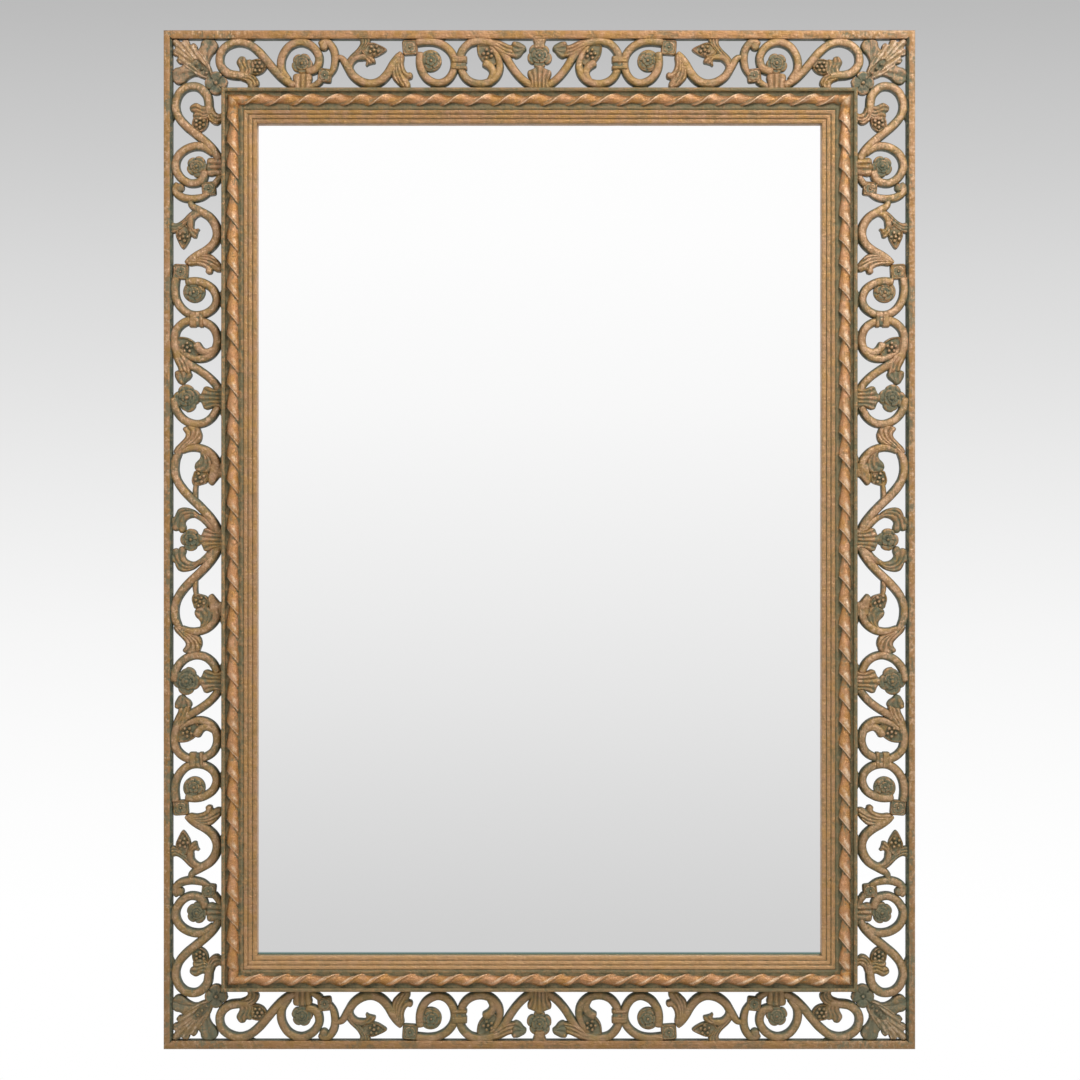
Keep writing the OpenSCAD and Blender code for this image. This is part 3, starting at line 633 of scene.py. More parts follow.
def strap(line, half, lift, floor, rubbed):
    # line in mm; half is the half width at each point
    section = np.array(strapSection)
    tangent = np.gradient(line, axis=0)
    tangent /= np.linalg.norm(tangent, axis=1)[:, None]

    def cap(i, sense, a):
        end = line[i] + sense * tangent[i] * half[i] * 0.5 * math.sin(a)
        return end, tangent[i], half[i] * math.cos(a), a

    caps = [math.radians(a) for a in strapWork["caps"]]
    rows = [cap(0, -1, a) for a in caps] + [(line[i], tangent[i], half[i], 0.0) for i in range(len(line))]
    rows += [cap(-1, 1, a) for a in caps[::-1]]
    centre, way = np.array([r[0] for r in rows]), np.array([r[1] for r in rows])
    wide = np.array([r[2] for r in rows])[:, None]
    drop = np.array([1 - math.cos(r[3]) for r in rows])[:, None]
    out = np.stack([-way[:, 1], way[:, 0]], 1)
    place = centre[:, None, :] + out[:, None, :] * (wide * section[None, :, 0])[:, :, None]
    rise = strapWork["crest"] - strapWork["shoulder"]
    rise = rise * np.clip(0.45 + 0.55 * wide / (strapWork["width"] / 2), 0.4, 1.04)
    up = section[None, :, 1]
    top = strapWork["shoulder"] + lift + rise * up - drop * 2.2 * (up > 0)
    depth = np.where(up <= -1, floor, top)
    rubs = section[None, :, 2] * rubbed * (1 - 0.5 * drop) + 0 * depth
    return place.reshape(-1, 2), depth.reshape(-1), closedTube(len(rows), len(section)), rubs.reshape(-1)


def distanceTo(points, line, closed=False):
    a = np.asarray(line, float)
    b = np.roll(a, -1, axis=0) if closed else a[1:]
    a = a if closed else a[:-1]
    ab = b - a
    t = ((points[:, None, :] - a[None]) * ab[None]).sum(-1) / np.maximum((ab * ab).sum(-1), 1e-9)[None]
    near = a[None] + unit(t)[..., None] * ab[None]
    return np.sqrt(((points[:, None, :] - near) ** 2).sum(-1)).min(1)


def inside(points, loop):
    a, b = loop, np.roll(loop, -1, axis=0)
    x, y = points[:, 0][:, None], points[:, 1][:, None]
    cross = (a[None, :, 1] > y) != (b[None, :, 1] > y)
    slope = np.where(b[:, 1] == a[:, 1], 1e-9, b[:, 1] - a[:, 1])
    at = (b[:, 0] - a[:, 0])[None] * (y - a[None, :, 1]) / slope[None] + a[None, :, 0]
    return ((cross & (x < at)).sum(1) % 2) == 1


leafWork = {"grid": 0.74, "edge": 20.8, "crest": 24.4, "round": 2.4, "flute": 1.5, "wall": 1.6, "seat": 1.7}
# the rim left standing, the slope within it, the hollow's depth, and rub of the rim and less in the hollow
hollowWork = {"cup": (1.3, 1.2, 2.0, 1.3, 0.66), "frame": (1.4, 0.7, 1.2, 1.2, 0.75)}


def filled(loop):
    # the outline filled with a fine net of triangles
    g = leafWork["grid"]
    low, high = loop.min(0), loop.max(0)
    rows, columns = np.arange(low[1] + g / 2, high[1], g * 0.87), np.arange(low[0], high[0], g)
    net = np.array([(x + (j % 2) * g / 2, y) for j, y in enumerate(rows) for x in columns])
    net = net[inside(net, loop)]
    net = net[distanceTo(net, loop, True) > g * 0.45]
    every = [tuple(p) for p in np.concatenate([loop, net])]
    made = delaunay_2d_cdt(every, [], [list(range(len(loop)))], 1, 1e-5)
    return np.array([tuple(v) for v in made[0]]), [list(t) for t in made[2]]


def leaf(loop, ridges, style, lift, floor, rubbed, seat=None, carve=1.0):
    # a carved leaf, pod or block: a net that is raised, fluted between its ridges or hollowed
    work, n = leafWork, len(loop)
    points, tris = filled(loop)
    edge = distanceTo(points, loop, True)
    dome = np.sqrt(unit(1 - (1 - unit(edge / work["round"])) ** 2))
    top = work["edge"] + (work["crest"] - work["edge"]) * dome
    rubs = rubbed * (0.35 + 0.65 * unit(edge / 0.9))
    if style in hollowWork:
        stand, slope, sink, bright, dull = hollowWork[style]
        hollow = unit((edge - stand) / slope)
        top = top - sink * hollow
        rubs = rubs * (bright - dull * hollow)
    if len(ridges):
        away = np.sort([distanceTo(points, r) for r in ridges], axis=0)
        gap = away[0] + away[1] if len(ridges) > 1 else 2 * away[0] + 0.1
        share = unit(2 * away[0] / np.maximum(gap, 0.1))
        deep = np.clip(gap / 4.0, 0.3, 1.15) * dome
        top = top - carve * work["flute"] * deep * share ** 1.7
        valley = carve * (0.25 * unit((share - 0.45) / 0.4) + 0.36 * unit((share - 0.8) / 0.14))
        rubs = rubs * (1 - valley) + 0.22 * rubbed * unit(1 - share / 0.4) * dome
    if seat is not None:
        # a sunk oval for the beads
        sunk = unit(distanceTo(points, seat, True) / 0.9) * inside(points, seat)
        top = top - work["seat"] * sunk
        rubs = rubs * (1 - 0.58 * sunk)
    # the outline comes first in the net, and the walls stand under it
    base, rim = len(points), points[:n]
    depth = np.concatenate([top + lift, np.full(n, work["edge"] - work["wall"] + lift), np.full(n, floor)])
    walls = [(i, (i + 1) % n, base + (i + 1) % n, base + i) for i in range(n)]
    walls += [(base + i, base + (i + 1) % n, base + n + (i + 1) % n, base + n + i) for i in range(n)]
    walls += [[base + n + i for i in range(n)]]
    rubs = np.concatenate([rubs, np.full(2 * n, 0.05)])
    return np.concatenate([points, rim, rim]), depth, tris + walls, rubs


def drawnLeaf(k, outline, ridges, style, lift, floor, rubbed):
    # outline and ridges in band units
    lines = [toBand(k, smoothLine(r, 6)) for r in ridges]
    return leaf(toBand(k, smoothLoop(outline, 5)), lines, style, lift, floor, rubbed)


def ringPlace(centre, r, angle):
    return np.stack([centre[0] + r * np.cos(angle), centre[1] + r * np.sin(angle)], -1)


def domeFaces(rings, around):
    # rings from a middle point outward, and a face under the last
    faces = tubeFaces(rings, around)[around:]
    faces += [[around + j, around + (j + 1) % around, 0] for j in range(around)]
    return faces + [[(rings - 1) * around + j for j in range(around)]]


petalShares = [0, .1, .2, .3, .4, .5, .58, .66, .73, .79, .85, .9, .94, .97, .99, 1.0]


def petals(centre, reach, count, turn, top, floor, rubbed, notch, lap):
    # one round of petals: dished, with raised edges, each lapping the next
    around = 16 * count
    angle = fullTurn(around)[None, :]
    share = np.array(petalShares)[:, None]
    petal = count * (angle - turn) / (2 * math.pi) + 0.5
    part, which = petal % 1.0, np.floor(petal)
    varied = 1 + 0.16 * np.sin(2.4 * which + 5 * turn + centre[0] * 0.1)
    bow = np.abs(np.sin(math.pi * part)) ** 0.55 * varied
    r = share * reach * (1 - notch + notch * bow)
    cut = bell(np.minimum(part, 1 - part), 0.07) * unit((share - 0.3) * 2.5)
    rise = np.clip(reach / 8, 0.5, 1.2)
    lapped = lap * (part - 0.5) * unit(share * 1.6 - 0.5)
    height = top + rise * (0.75 * share ** 2 - 1.25 * share ** 12 - 0.65 * cut + lapped)
    sunk = unit(1 - share / 0.36) ** 0.5
    height = height - 0.9 * rise * sunk
    edge = unit((share - 0.8) / 0.1)
    rubs = rubbed * (0.4 + 0.95 * edge - 0.6 * (share > 0.975)) * (1 - 0.8 * cut) * (1 - 0.65 * sunk)
    rubs = rubs + 0.3 * rubbed * unit(1 - np.abs(part - 0.12) / 0.1) * unit(share * 2 - 0.7) * (1 - edge)
    place = ringPlace(centre, r, angle)
    points = np.concatenate([place.reshape(-1, 2), place[-1], place[-1]])
    depth = np.concatenate([height.reshape(-1), height[-1] - 1.0, np.full(around, floor)])
    rubs = np.concatenate([(rubs + 0 * r).reshape(-1), np.full(around, 0.12), np.full(around, 0.0)])
    return points, depth, domeFaces(len(share) + 2, around), rubs


def berry(centre, radius, top, rubbed):
    rings, around = 6, 10
    tilt = np.linspace(0, math.pi / 2, rings)[:, None]
    angle = fullTurn(around)[None, :]
    place = ringPlace(centre, radius * np.sin(tilt) + 0 * angle, angle).reshape(-1, 2)
    depth = (top - radius * 1.1 * (1 - np.cos(tilt)) + 0 * angle).reshape(-1)
    rubs = (rubbed * unit(np.cos(tilt) * 1.5 - 0.55) + 0 * angle).reshape(-1)
    points = np.concatenate([place, place[-around:]])
    depth = np.concatenate([depth, np.full(around, top - radius * 1.1 - 1.5)])
    return points, depth, domeFaces(rings + 1, around), np.concatenate([rubs, np.zeros(around)])


flowerWork = {"top": 22.9, "step": 1.35, "reaches": {1: [1.0], 2: [1.0, 0.6], 3: [1.0, 0.64, 0.36]}}


def flower(centre, radius, count, turn, lift, floor, layers, bead, rubbed, notch):
    # rounds of petals laid on each other, with a bead in the middle
    parts, top = [], flowerWork["top"] + lift
    for i, reach in enumerate(flowerWork["reaches"][layers]):
        turned, cut = turn + i * math.pi / count, notch if i == 0 else notch * 0.75
        parts.append(petals(centre, radius * reach, count, turned, top, floor + 0.012 * i,
                            rubbed * (1 - 0.08 * i), cut, 0.8))
        top += flowerWork["step"]
    ball = max(radius * bead, 1.2)
    parts.append(berry(centre, ball, top + ball * 0.3, rubbed * 1.7))
    return parts


def mirrored(points):
    return [[-u, v] for u, v in points]


def outlineOf(half):
    # the right half of an outline, from its foot up, and its mirror image
    return mirrored(half[:1]) + half + mirrored(half[:0:-1])


def ridgesOf(middle, right):
    return [middle] + right + [mirrored(r) for r in right]


# Straps: points along the middle with their share of the width. What is called run is on every side, and
# what is called side only on the two tall ones.
cornerScroll = [[87, 47.5, 0.9], [78, 46.8, 1.05], [68, 45, 1.1], [60.5, 38.5, 1.05], [58, 31, 1],
                [60, 22, 1], [67, 15, 1], [78, 11.8, 1], [89, 14.5, 1], [98.5, 22, 1.05], [107, 32, 1.05],
                [115, 42, 1.05], [124, 51, 1.05], [134, 57.5, 1]]
roseScroll = [[128, 51, 0.9], [121.5, 41, 1], [121.5, 29, 1], [127, 18.5, 1], [135, 13, 1], [144, 12, 1],
              [153, 16.5, 1], [159, 25, 1], [159.5, 33, 1], [156, 40, 1.05], [148, 43, 1]]
volute = [[171, 46.5, 0.55], [174.5, 39, 0.85], [176, 29, 0.95], [174.5, 19.5, 0.98], [170, 13.2, 0.95],
          [164.5, 12.2, 0.9], [161.6, 14.4, 0.9]]
berryScroll = [[177, 28, 0.6], [183, 29, 0.8], [189, 38, 1], [195, 47.5, 1.05], [204, 53.8, 1.1],
               [214, 55.5, 1.1], [223, 52, 1.1], [230, 44.5, 1.1], [235.5, 35, 1.1], [240, 27.6, 0.9],
               [243, 23, 0.5]]
berryCurl = [[190.6, 42, 0.6], [192.5, 34, 0.7], [197.5, 28.6, 0.8], [204, 27.6, 0.8], [208, 29, 0.55]]
rosetteScroll = [[263, 24, 1], [262.5, 34, 1], [265, 43, 1], [271, 51, 1], [281, 55, 1], [290, 52, 1],
                 [296, 44, 1], [298, 34, 1], [296, 25, 1], [290, 17.5, 1], [281, 12.5, 1], [271, 11, 1],
                 [260, 12, 1]]
hookTop = [[303, 36, 0.9], [303.5, 27, 1], [307, 19, 1], [314, 12.8, 1], [324, 10.8, 1], [333, 12, 1],
           [340, 14.6, 0.9], [346, 17.4, 0.6]]
hookLow = [[304, 36, 0.9], [306, 44, 1], [311, 51, 1], [319, 55, 1], [328, 55.5, 1.05], [337, 51.5, 1],
           [342.5, 44, 1], [344, 35, 0.9], [341.6, 27, 0.8], [338, 20.5, 0.7], [334.5, 16.5, 0.55]]
hookCurl = [[333.5, 51.5, 0.7], [336.8, 46, 0.9], [336.6, 41, 0.95], [333.8, 37.2, 1.0],
            [330.6, 34.8, 1.05], [328.6, 33.8, 1.0]]
tailStrap = [[344, 19, 0.9], [350, 27, 1], [356, 37, 1], [363, 46.5, 1], [371, 54, 1], [381, 60, 1]]
loopStrap = [[386, 10, 0.95], [398, 12.8, 1], [407.5, 20.5, 1], [412, 31, 1], [411, 41.5, 1],
             [405, 50, 1], [395, 56, 1]]
tulipTop = [[440, 17.5, 0.6], [445, 14, 0.9], [451, 11.6, 1], [461, 11, 1], [471, 13.5, 1],
            [480, 19, 1.05], [489, 27, 1.05], [498, 36.5, 1.05], [508, 46, 1.05], [518, 53.5, 1],
            [528, 58, 0.95]]
tulipLow = [[441, 19, 0.6], [438, 26, 0.8], [437, 34, 1], [440, 44, 1], [447, 52, 1], [456, 55.5, 1.1],
            [464, 54.5, 0.9]]
tulipStalk = [[474, 33.5, 0.5], [481, 32.6, 0.6], [485.4, 32.6, 0.6], [490, 33.6, 0.4]]
midRing = [[508.5, 34, 0.6], [512.5, 42, 0.8], [519, 49.5, 0.9], [526, 56, 0.9]]
blockArm = [[151, 58.5, 0.75], [156, 56.5, 0.8], [161, 52.5, 0.85]]
# strap, how far it is lifted over its neighbours, rub
runStraps = [(cornerScroll, 0.1, 1), (roseScroll, 0.0, 1), (volute, -0.1, 0.95), (berryScroll, 0.0, 1),
             (berryCurl, 0.3, 0.9), (rosetteScroll, 0.0, 1), (hookTop, 0.2, 1), (hookLow, -0.3, 1),
             (hookCurl, 0.3, 1), (tailStrap, -0.4, 0.9), (blockArm, -1.2, 0.9)]
sideStraps = [(loopStrap, 0.0, 1), (tulipTop, 0.15, 1), (tulipLow, 0.0, 0.95), (tulipStalk, -0.2, 0.8),
              (midRing, -0.3, 0.85)]

# outline, ridges, style, lift, rub
runLeaves = [
    ([[201, 7], [211.6, 7], [211.4, 13], [206.5, 20.5], [200, 27.5], [195.6, 34], [193.5, 42], [187, 42],
      [186.8, 33], [191, 26], [198, 19], [201.5, 13]],
     [[[203, 5], [204, 13], [198, 22], [191, 31], [189, 43]],
      [[206.5, 5], [207, 13], [201.6, 22], [194, 32], [191, 43]],
      [[210.2, 5], [210, 13], [204.4, 22], [197, 31], [193, 42]]], "flute", -0.2, 0.68),
    ([[75.5, 34], [77, 29.5], [80, 26.8], [84, 27.5], [86, 30.2], [90, 30], [93.5, 33], [95, 38],
      [93, 45], [86, 49.5], [77, 47.5], [78.5, 41]],
     [[[79.5, 28.5], [78.6, 33], [82, 40], [80, 47]], [[84, 29], [83, 34], [86, 41], [84, 48]],
      [[88.5, 31.5], [87.5, 36], [89.5, 42], [87, 48]], [[92.5, 34.5], [91.8, 39], [92, 43], [89, 48]]],
     "flute", 0.6, 0.72),
    ([[76, 46], [84, 43.5], [92, 45.5], [97.5, 50.5], [98.8, 56], [96, 60], [97, 63], [85, 63], [87, 58],
      [84.5, 54], [79, 51.5]],
     [[[77, 48], [86, 48.2], [92, 51.5], [94, 57], [91.5, 62]],
      [[79, 50.3], [86, 51.5], [90, 55], [90, 62]], [[84, 45.2], [92, 47.5], [96.8, 53], [97, 57.5]]],
     "flute", 0.4, 0.9),
    ([[87, 33], [94, 29.5], [101, 29.2], [105.5, 32], [106.5, 38], [103, 43.5], [97, 46.5], [91, 46],
      [87, 41]],
     [], "cup", 0.0, 0.8),
    ([[202, 21], [207, 14.5], [213, 12], [220, 14], [229, 19.5], [222, 25.5], [215, 28], [208, 27.5]],
     [], "cup", 0.0, 0.8),
    ([[238, 32], [243, 23.5], [246.8, 27], [246.2, 34], [247.5, 40], [250, 43.6], [253, 43.4],
      [255.4, 46], [254.6, 50], [251.4, 51.6], [253, 55.5], [252.4, 60], [248, 61.8], [243, 58.8],
      [238.5, 55], [234.3, 49.5], [234, 41]],
     [[[243.8, 25], [243.8, 36], [246.8, 44.5], [252.8, 47.6]],
      [[242.2, 26], [241, 38], [243.7, 48], [249.8, 59]],
      [[240.6, 29], [238.6, 40], [240.6, 49], [245.5, 58]], [[238, 33], [236, 42], [237, 49], [240, 55]]],
     "flute", 0.9, 1.0),
    ([[203, 26.5], [206, 26.4], [211, 25.6], [215.2, 28], [217.4, 31], [217, 34], [214.2, 34.8],
      [210.6, 35.8], [208.5, 37.2], [207, 36], [207.6, 33], [206, 30.6], [203, 29.8]],
     [[[202, 27], [210, 27.4], [215.8, 32.4]], [[202, 28.4], [208.4, 29.8], [212, 35]],
      [[202, 29.6], [206.8, 31.6], [208.4, 36]]], "flute", 0.9, 0.9),
    ([[320.5, 18], [321.5, 14.6], [328, 13.8], [336, 15.6], [342, 20], [344.4, 27], [342, 34],
      [336.6, 38], [330, 35.4], [325, 31], [321.6, 25]],
     [], "cup", -0.3, 0.6),
    ([[336, 9.6], [341.2, 9.4], [347, 11.4], [352.7, 14.3], [357.5, 16], [358, 21.6], [360.4, 25],
      [359.4, 28.2], [352, 27], [347, 25.4], [342, 23.4], [337, 18]],
     [[[334, 11], [343, 13.2], [350, 16.2], [358, 18.4]],
      [[335, 13], [343, 16.4], [350, 20.4], [358.6, 22.8]],
      [[337, 16], [343.4, 20], [350, 24.2], [360.4, 26.8]]], "flute", 1.0, 0.9),
    ([[359, 11.5], [356, 13.8], [356, 17.4], [356.8, 22.7], [358.4, 28.2], [361.6, 29.2], [365.4, 27],
      [368.4, 23], [371.4, 20], [370, 15.6], [365.8, 12.8], [362.2, 11.2]],
     [[[357, 13], [362, 16], [369, 18]], [[357, 20], [363, 21], [368, 20]],
      [[359, 27.5], [363, 25], [367, 22]]], "flute", 0.3, 0.42)]
sideLeaves = [
    ([[417.9, 19.6], [415, 21.6], [413.5, 29], [416, 36.6], [420, 38.8], [424.4, 40], [430.5, 38.6],
      [434, 34.5], [435.4, 28], [438.6, 21], [444.5, 14.8], [442, 10.2], [436.8, 12], [431.5, 17.2],
      [426.3, 21.8], [422.4, 22.4]],
     [[[443, 11.5], [434, 18], [427.5, 24.6], [421, 25.4], [417.4, 22]],
      [[443, 13.4], [434.6, 21.4], [427.5, 28.8], [420, 30.4], [415, 27]],
      [[440, 18], [433.4, 26], [427, 33.4], [419, 36]], [[436.4, 24], [431.4, 33], [425, 38.8]]],
     "flute", 1.0, 0.95),
    ([[439.6, 37], [440.4, 42], [445, 47.2], [451.4, 50.6], [457.8, 50.6], [463, 47.2], [464, 40],
      [461.6, 34.2], [457.8, 31.8], [453, 33], [448.4, 37.2], [444.6, 38]],
     [[[439, 38], [446.2, 42.4], [453.4, 43.4], [459.6, 40.2], [460.8, 34]],
      [[440.6, 42], [449.4, 47], [456.6, 47.6], [462, 44.6]],
      [[448.4, 38.6], [453.4, 37.6], [455.6, 33]]], "flute", 0.5, 0.5),
    ([[461, 33], [466, 30], [472, 28.8], [477.4, 31.4], [476.6, 38], [473.8, 45], [467, 47.6],
      [461.5, 45]],
     [], "cup", 0.1, 0.6),
    ([[454, 49], [462, 47.4], [470, 45.6], [474.4, 46.6], [476.8, 50.4], [472.6, 54.6], [468.6, 58],
      [467.8, 62], [460, 62], [453, 60.6]],
     [], "flute", 0.5, 0.85),
    ([[515.2, 45.7], [507.9, 38.4], [502.1, 31], [499.5, 21.6], [501.1, 15.3], [505.8, 12.2], [508.9, 11],
      [511, 7.6], [516.2, 7.6], [522.5, 8.4], [524.8, 12.2], [524.1, 14.8], [526.2, 16.9], [526.7, 20],
      [523.6, 22.7], [520.4, 23.2], [516.2, 22.1], [512.6, 24.7], [510.7, 30], [512, 35.2], [517.3, 41.5],
      [521.5, 45.7]],
     [[[517, 44], [505.8, 32.1], [505.8, 20.6], [513.1, 14.3], [523, 12.4]],
      [[519.4, 44], [508.9, 33.1], [508.9, 23.7], [514.1, 18.5], [524, 18]],
      [[511, 39.4], [501.6, 27.9], [503.7, 16.4], [514.1, 9.3]]], "flute", 0.5, 0.52)]
# fan, stem and knob, about their own middle
fan = outlineOf([[3, 36.6], [5, 39], [8.4, 40.6], [11.4, 42], [12.4, 45.4], [11.2, 49], [9.6, 52.5],
                 [9.8, 57], [10.6, 62]])
fanRidges = ridgesOf([[0, 35], [0, 45], [0, 63]], [[[6, 41.5], [4.4, 48], [3.8, 63]],
                                                   [[11.8, 43.5], [8.8, 48.6], [7.6, 54], [8.2, 63]]])
stem = outlineOf([[7, 45], [10, 49], [9, 54], [7.5, 62]])
stemRidges = ridgesOf([[0, 44], [0, 63]], [[[5.6, 46], [4.6, 63]]])
knob = outlineOf([[7, 7], [6.6, 10.5], [5.6, 14], [5.2, 19]])

# pod: middle, turn, how many berries
runBerries = [([97, 38], 0, 7), ([216, 20.5], 15, 6), ([332, 24.5], -35, 6)]
sideBerries = [([468.6, 37.8], 20, 5)]
podWork = {"ring": 4.5, "radius": 2.05, "top": 25.8, "rub": 1.3}
# blocks: middle, half width, turn
runBlocks = [([165.5, 46.8], 7.6, 6), ([252.5, 17.4], 8.2, -4)]
# the round ends of the small scroll and of the bud: middle, radius, lift, rub
runRounds = [([164.6, 16.6], 4.7, 1.0, 0.72), ([359, 13.8], 2.7, 1.0, 0.8)]
# flower: middle, radius, petals, turn, layers, rub
runFlowers = [([142.5, 34.5], 11.2, 5, 10, 3, 0.55), ([165.5, 46.8], 5.8, 4, 51, 1, 1.0),
              ([252.5, 17.4], 6.0, 4, 41, 1, 1.0), ([274, 31.5], 9.6, 5, 40, 2, 0.75)]
sideFlowers = [([385, 24], 14.4, 4, 8, 3, 0.47)]
# the flower in the middle of a side: v, radius, petals, turn, layers, bead, rub
middleFlowers = [(26.5, 13.2, 5, 90, 3, 0.15, 0.58), (28.2, 11.6, 4, 4, 2, 0.18, 0.5)]
rosettePlate = {"middle": [273.5, 31.5], "radius": 11.6, "petals": 3, "turn": 0.4, "top": 22.0, "rub": 0.55}
# pads of the ground wood that tie a loop to the rim or the moulding: middle, half length, edge
runPads = [(86, 10, 0), (140, 11, 0), (214, 12, 1), (281, 11, 1), (278, 11, 0), (324, 12, 1),
           (326, 11, 0)]
sidePads = [(456, 13, 1), (458, 11, 0), (396, 9, 1)]
padWork = {"rim": (7.8, 13.5), "mould": (61.6, 54.5), "taper": 0.62, "lap": 0.2}
# the collar's block, ring and foot: half sizes, how far inward, lift, rub
stemAt, fanAt, collarAt = 143, 385, [302.6, 30.4]
collar = [((8.6, 4.1), 0, 2.3, 0.95), ((7.6, 7.4), 3.6, 0.7, 0.25), ((8.6, 2.4), 8.8, 2.2, 0.95)]


def shifted(points, du):
    return [[p[0] + du] + list(p[1:]) for p in points]


def squareLoop(centre, half, turn):
    a = fullTurn(44)
    r = half / (np.abs(np.cos(a)) ** 7 + np.abs(np.sin(a)) ** 7) ** (1 / 7)
    return ringPlace(centre, r, a + math.radians(turn))


def pad(k, u, half, low):
    edge, inner = padWork["mould" if low else "rim"]
    mid, near = (edge + inner) / 2, half * padWork["taper"]
    loop = smoothLoop([[u - half, edge], [u + half, edge], [u + near, mid], [u, inner], [u - near, mid]], 5)
    loop = toBand(k, loop)
    loop[:, 1] = np.clip(loop[:, 1], rimWide - padWork["lap"], mouldAt + padWork["lap"])
    return loop


def pod(k, c, turn, count):
    turns, reach = [math.radians(turn + 360 * i / (count - 1)) for i in range(count - 1)], podWork["ring"]
    spots = [c] + [[c[0] + reach * math.cos(a), c[1] + reach * math.sin(a)] for a in turns]
    return [berry(spot(k, s), podWork["radius"] * bandScale, podWork["top"], podWork["rub"]) for s in spots]


def halfParts(k):
    # everything on the left half of side k, as 2D places with depths
    parts = []
    tall = k % 2 == 1

    def ground():
        # each shell starts at its own depth, so no two backs lie in one plane
        return bandBack + 0.07 + 0.012 * len(parts)

    def every(run, side):
        return run + side if tall else run

    def placed(outline, ridges, u, lift, rubbed):
        ridges = [shifted(r, u) for r in ridges]
        parts.append(drawnLeaf(k, shifted(outline, u), ridges, "flute", lift, ground(), rubbed))

    for line, lift, rubbed in every(runStraps, sideStraps):
        c = smoothLine(line, strapWork["samples"])
        half = np.maximum(c[:, 2] * strapWork["width"] * bandScale / 2, 0.4)
        parts.append(strap(toBand(k, c), half, lift, ground(), rubbed))
    for u, half, low in every(runPads, sidePads):
        parts.append(leaf(pad(k, u, half, low), [], "flute", -2.6, ground(), 0.28))
    for outline, ridges, style, lift, rubbed in every(runLeaves, sideLeaves):
        parts.append(drawnLeaf(k, outline, ridges, style, lift, ground(), rubbed))
    for c, half, turn in runBlocks:
        parts.append(leaf(squareLoop(spot(k, c), half * bandScale, turn), [], "frame", 0.0, ground(), 0.8))
    ring = ringPlace([0, 0], 1, fullTurn(24))
    for c, radius, lift, rubbed in runRounds:
        parts.append(leaf(spot(k, c) + ring * radius, [], "flute", lift, ground(), rubbed))
    p = rosettePlate
    parts.append(petals(spot(k, p["middle"]), p["radius"] * bandScale, p["petals"], p["turn"], p["top"],
                        ground(), p["rub"], 0.0, 0.0))
    for c, radius, count, turn, layers, rubbed in every(runFlowers, sideFlowers):
        notch, lift = 0.24 if count == 4 else 0.18, 0.9 if layers == 1 else 0.0
        parts.extend(flower(spot(k, c), radius * bandScale, count, math.radians(turn), lift, ground(),
                            layers, 0.19, rubbed, notch))
    for c, turn, count in every(runBerries, sideBerries):
        parts.extend(pod(k, c, turn, count))
    middle, pillow = spot(k, collarAt), squareLoop([0, 0], 1, 0)
    for size, inward, lift, rubbed in collar:
        parts.append(leaf(middle + pillow * size + (0, inward), [], "flute", lift, ground(), rubbed))
    placed(stem, stemRidges, stemAt, 1.4, 0.78 if tall else 0.92)
    if tall:
        placed(fan, fanRidges, fanAt, 1.7, 0.7)
    return parts


def middleParts(k):
    # the fan and flower in the middle of side k, and along the top and bottom a knob at the rim
    tall, floor = k % 2, bandBack
    u = middleU[tall]
    ridges = [shifted(r, u) for r in fanRidges]
    parts = [drawnLeaf(k, shifted(fan, u), ridges, "flute", 1.7, floor + 0.01, 0.7 if tall else 0.9)]
    if not tall:
        parts.append(drawnLeaf(k, shifted(knob, u), [], "flute", 0.4, floor + 0.02, 0.95))
    v, radius, count, turn, layers, bead, rubbed = middleFlowers[tall]
    return parts + flower(spot(k, [u, v]), radius * bandScale, count, math.radians(turn), 0.3, floor + 0.03,
                          layers, bead, rubbed, 0.22)


def edgeStrip(k):
    # the band's edge along the rim
    w, back, rings = rimWide, bandBack + 0.4, 61
    prof = np.array([(w - 0.3, back, 0), (w - 0.3, 22.2, 0), (w + 0.5, 22.0, 0.15), (w + 0.8, 21.4, 0.1),
                     (w + 0.9, 20.5, 0), (w + 0.9, back, 0)])
    s = np.linspace(-1, 1, rings)[:, None] * (halfRun(k) - prof[None, :, 0])
    rubs = np.broadcast_to(prof[None, :, 2], s.shape)
    return onSide(k, s, prof[None, :, 0], prof[None, :, 1]), closedTube(rings, len(prof)), rubs


# the carver's hand: sizes of the waves and how far they sway, and what keeps the two halves' backs apart
swayWork = {"across": 11, "up": 13, "amount": 0.12, "apart": 0.005}
halves = [halfParts(0), halfParts(1)]
for k, name in enumerate(sideNames):
    carving = Carving()
    carving.add(*edgeStrip(k))
    for hand in (1, -1):
        for place, depth, faces, rubs in halves[k % 2]:
            apart, amount = swayWork["apart"] * hand, swayWork["amount"]
            there = onSide(k, hand * (place[:, 0] - halfRun(k)), place[:, 1], depth - apart)
            aside = uneven(there, swayWork["across"], amount)
            sway = np.stack([aside, 0 * depth, uneven(there[:, ::-1], swayWork["up"], amount)], 1)
            carving.add(there + sway * mm, faces, rubs)
    for place, depth, faces, rubs in middleParts(k):
        carving.add(onSide(k, place[:, 0] - halfRun(k), place[:, 1], depth), faces, rubs)
    carving.build("scroll_" + name + "_carved", [scrollFinish], "scroll_copper", "scroll_" + name, 40)
print("scrollwork done")


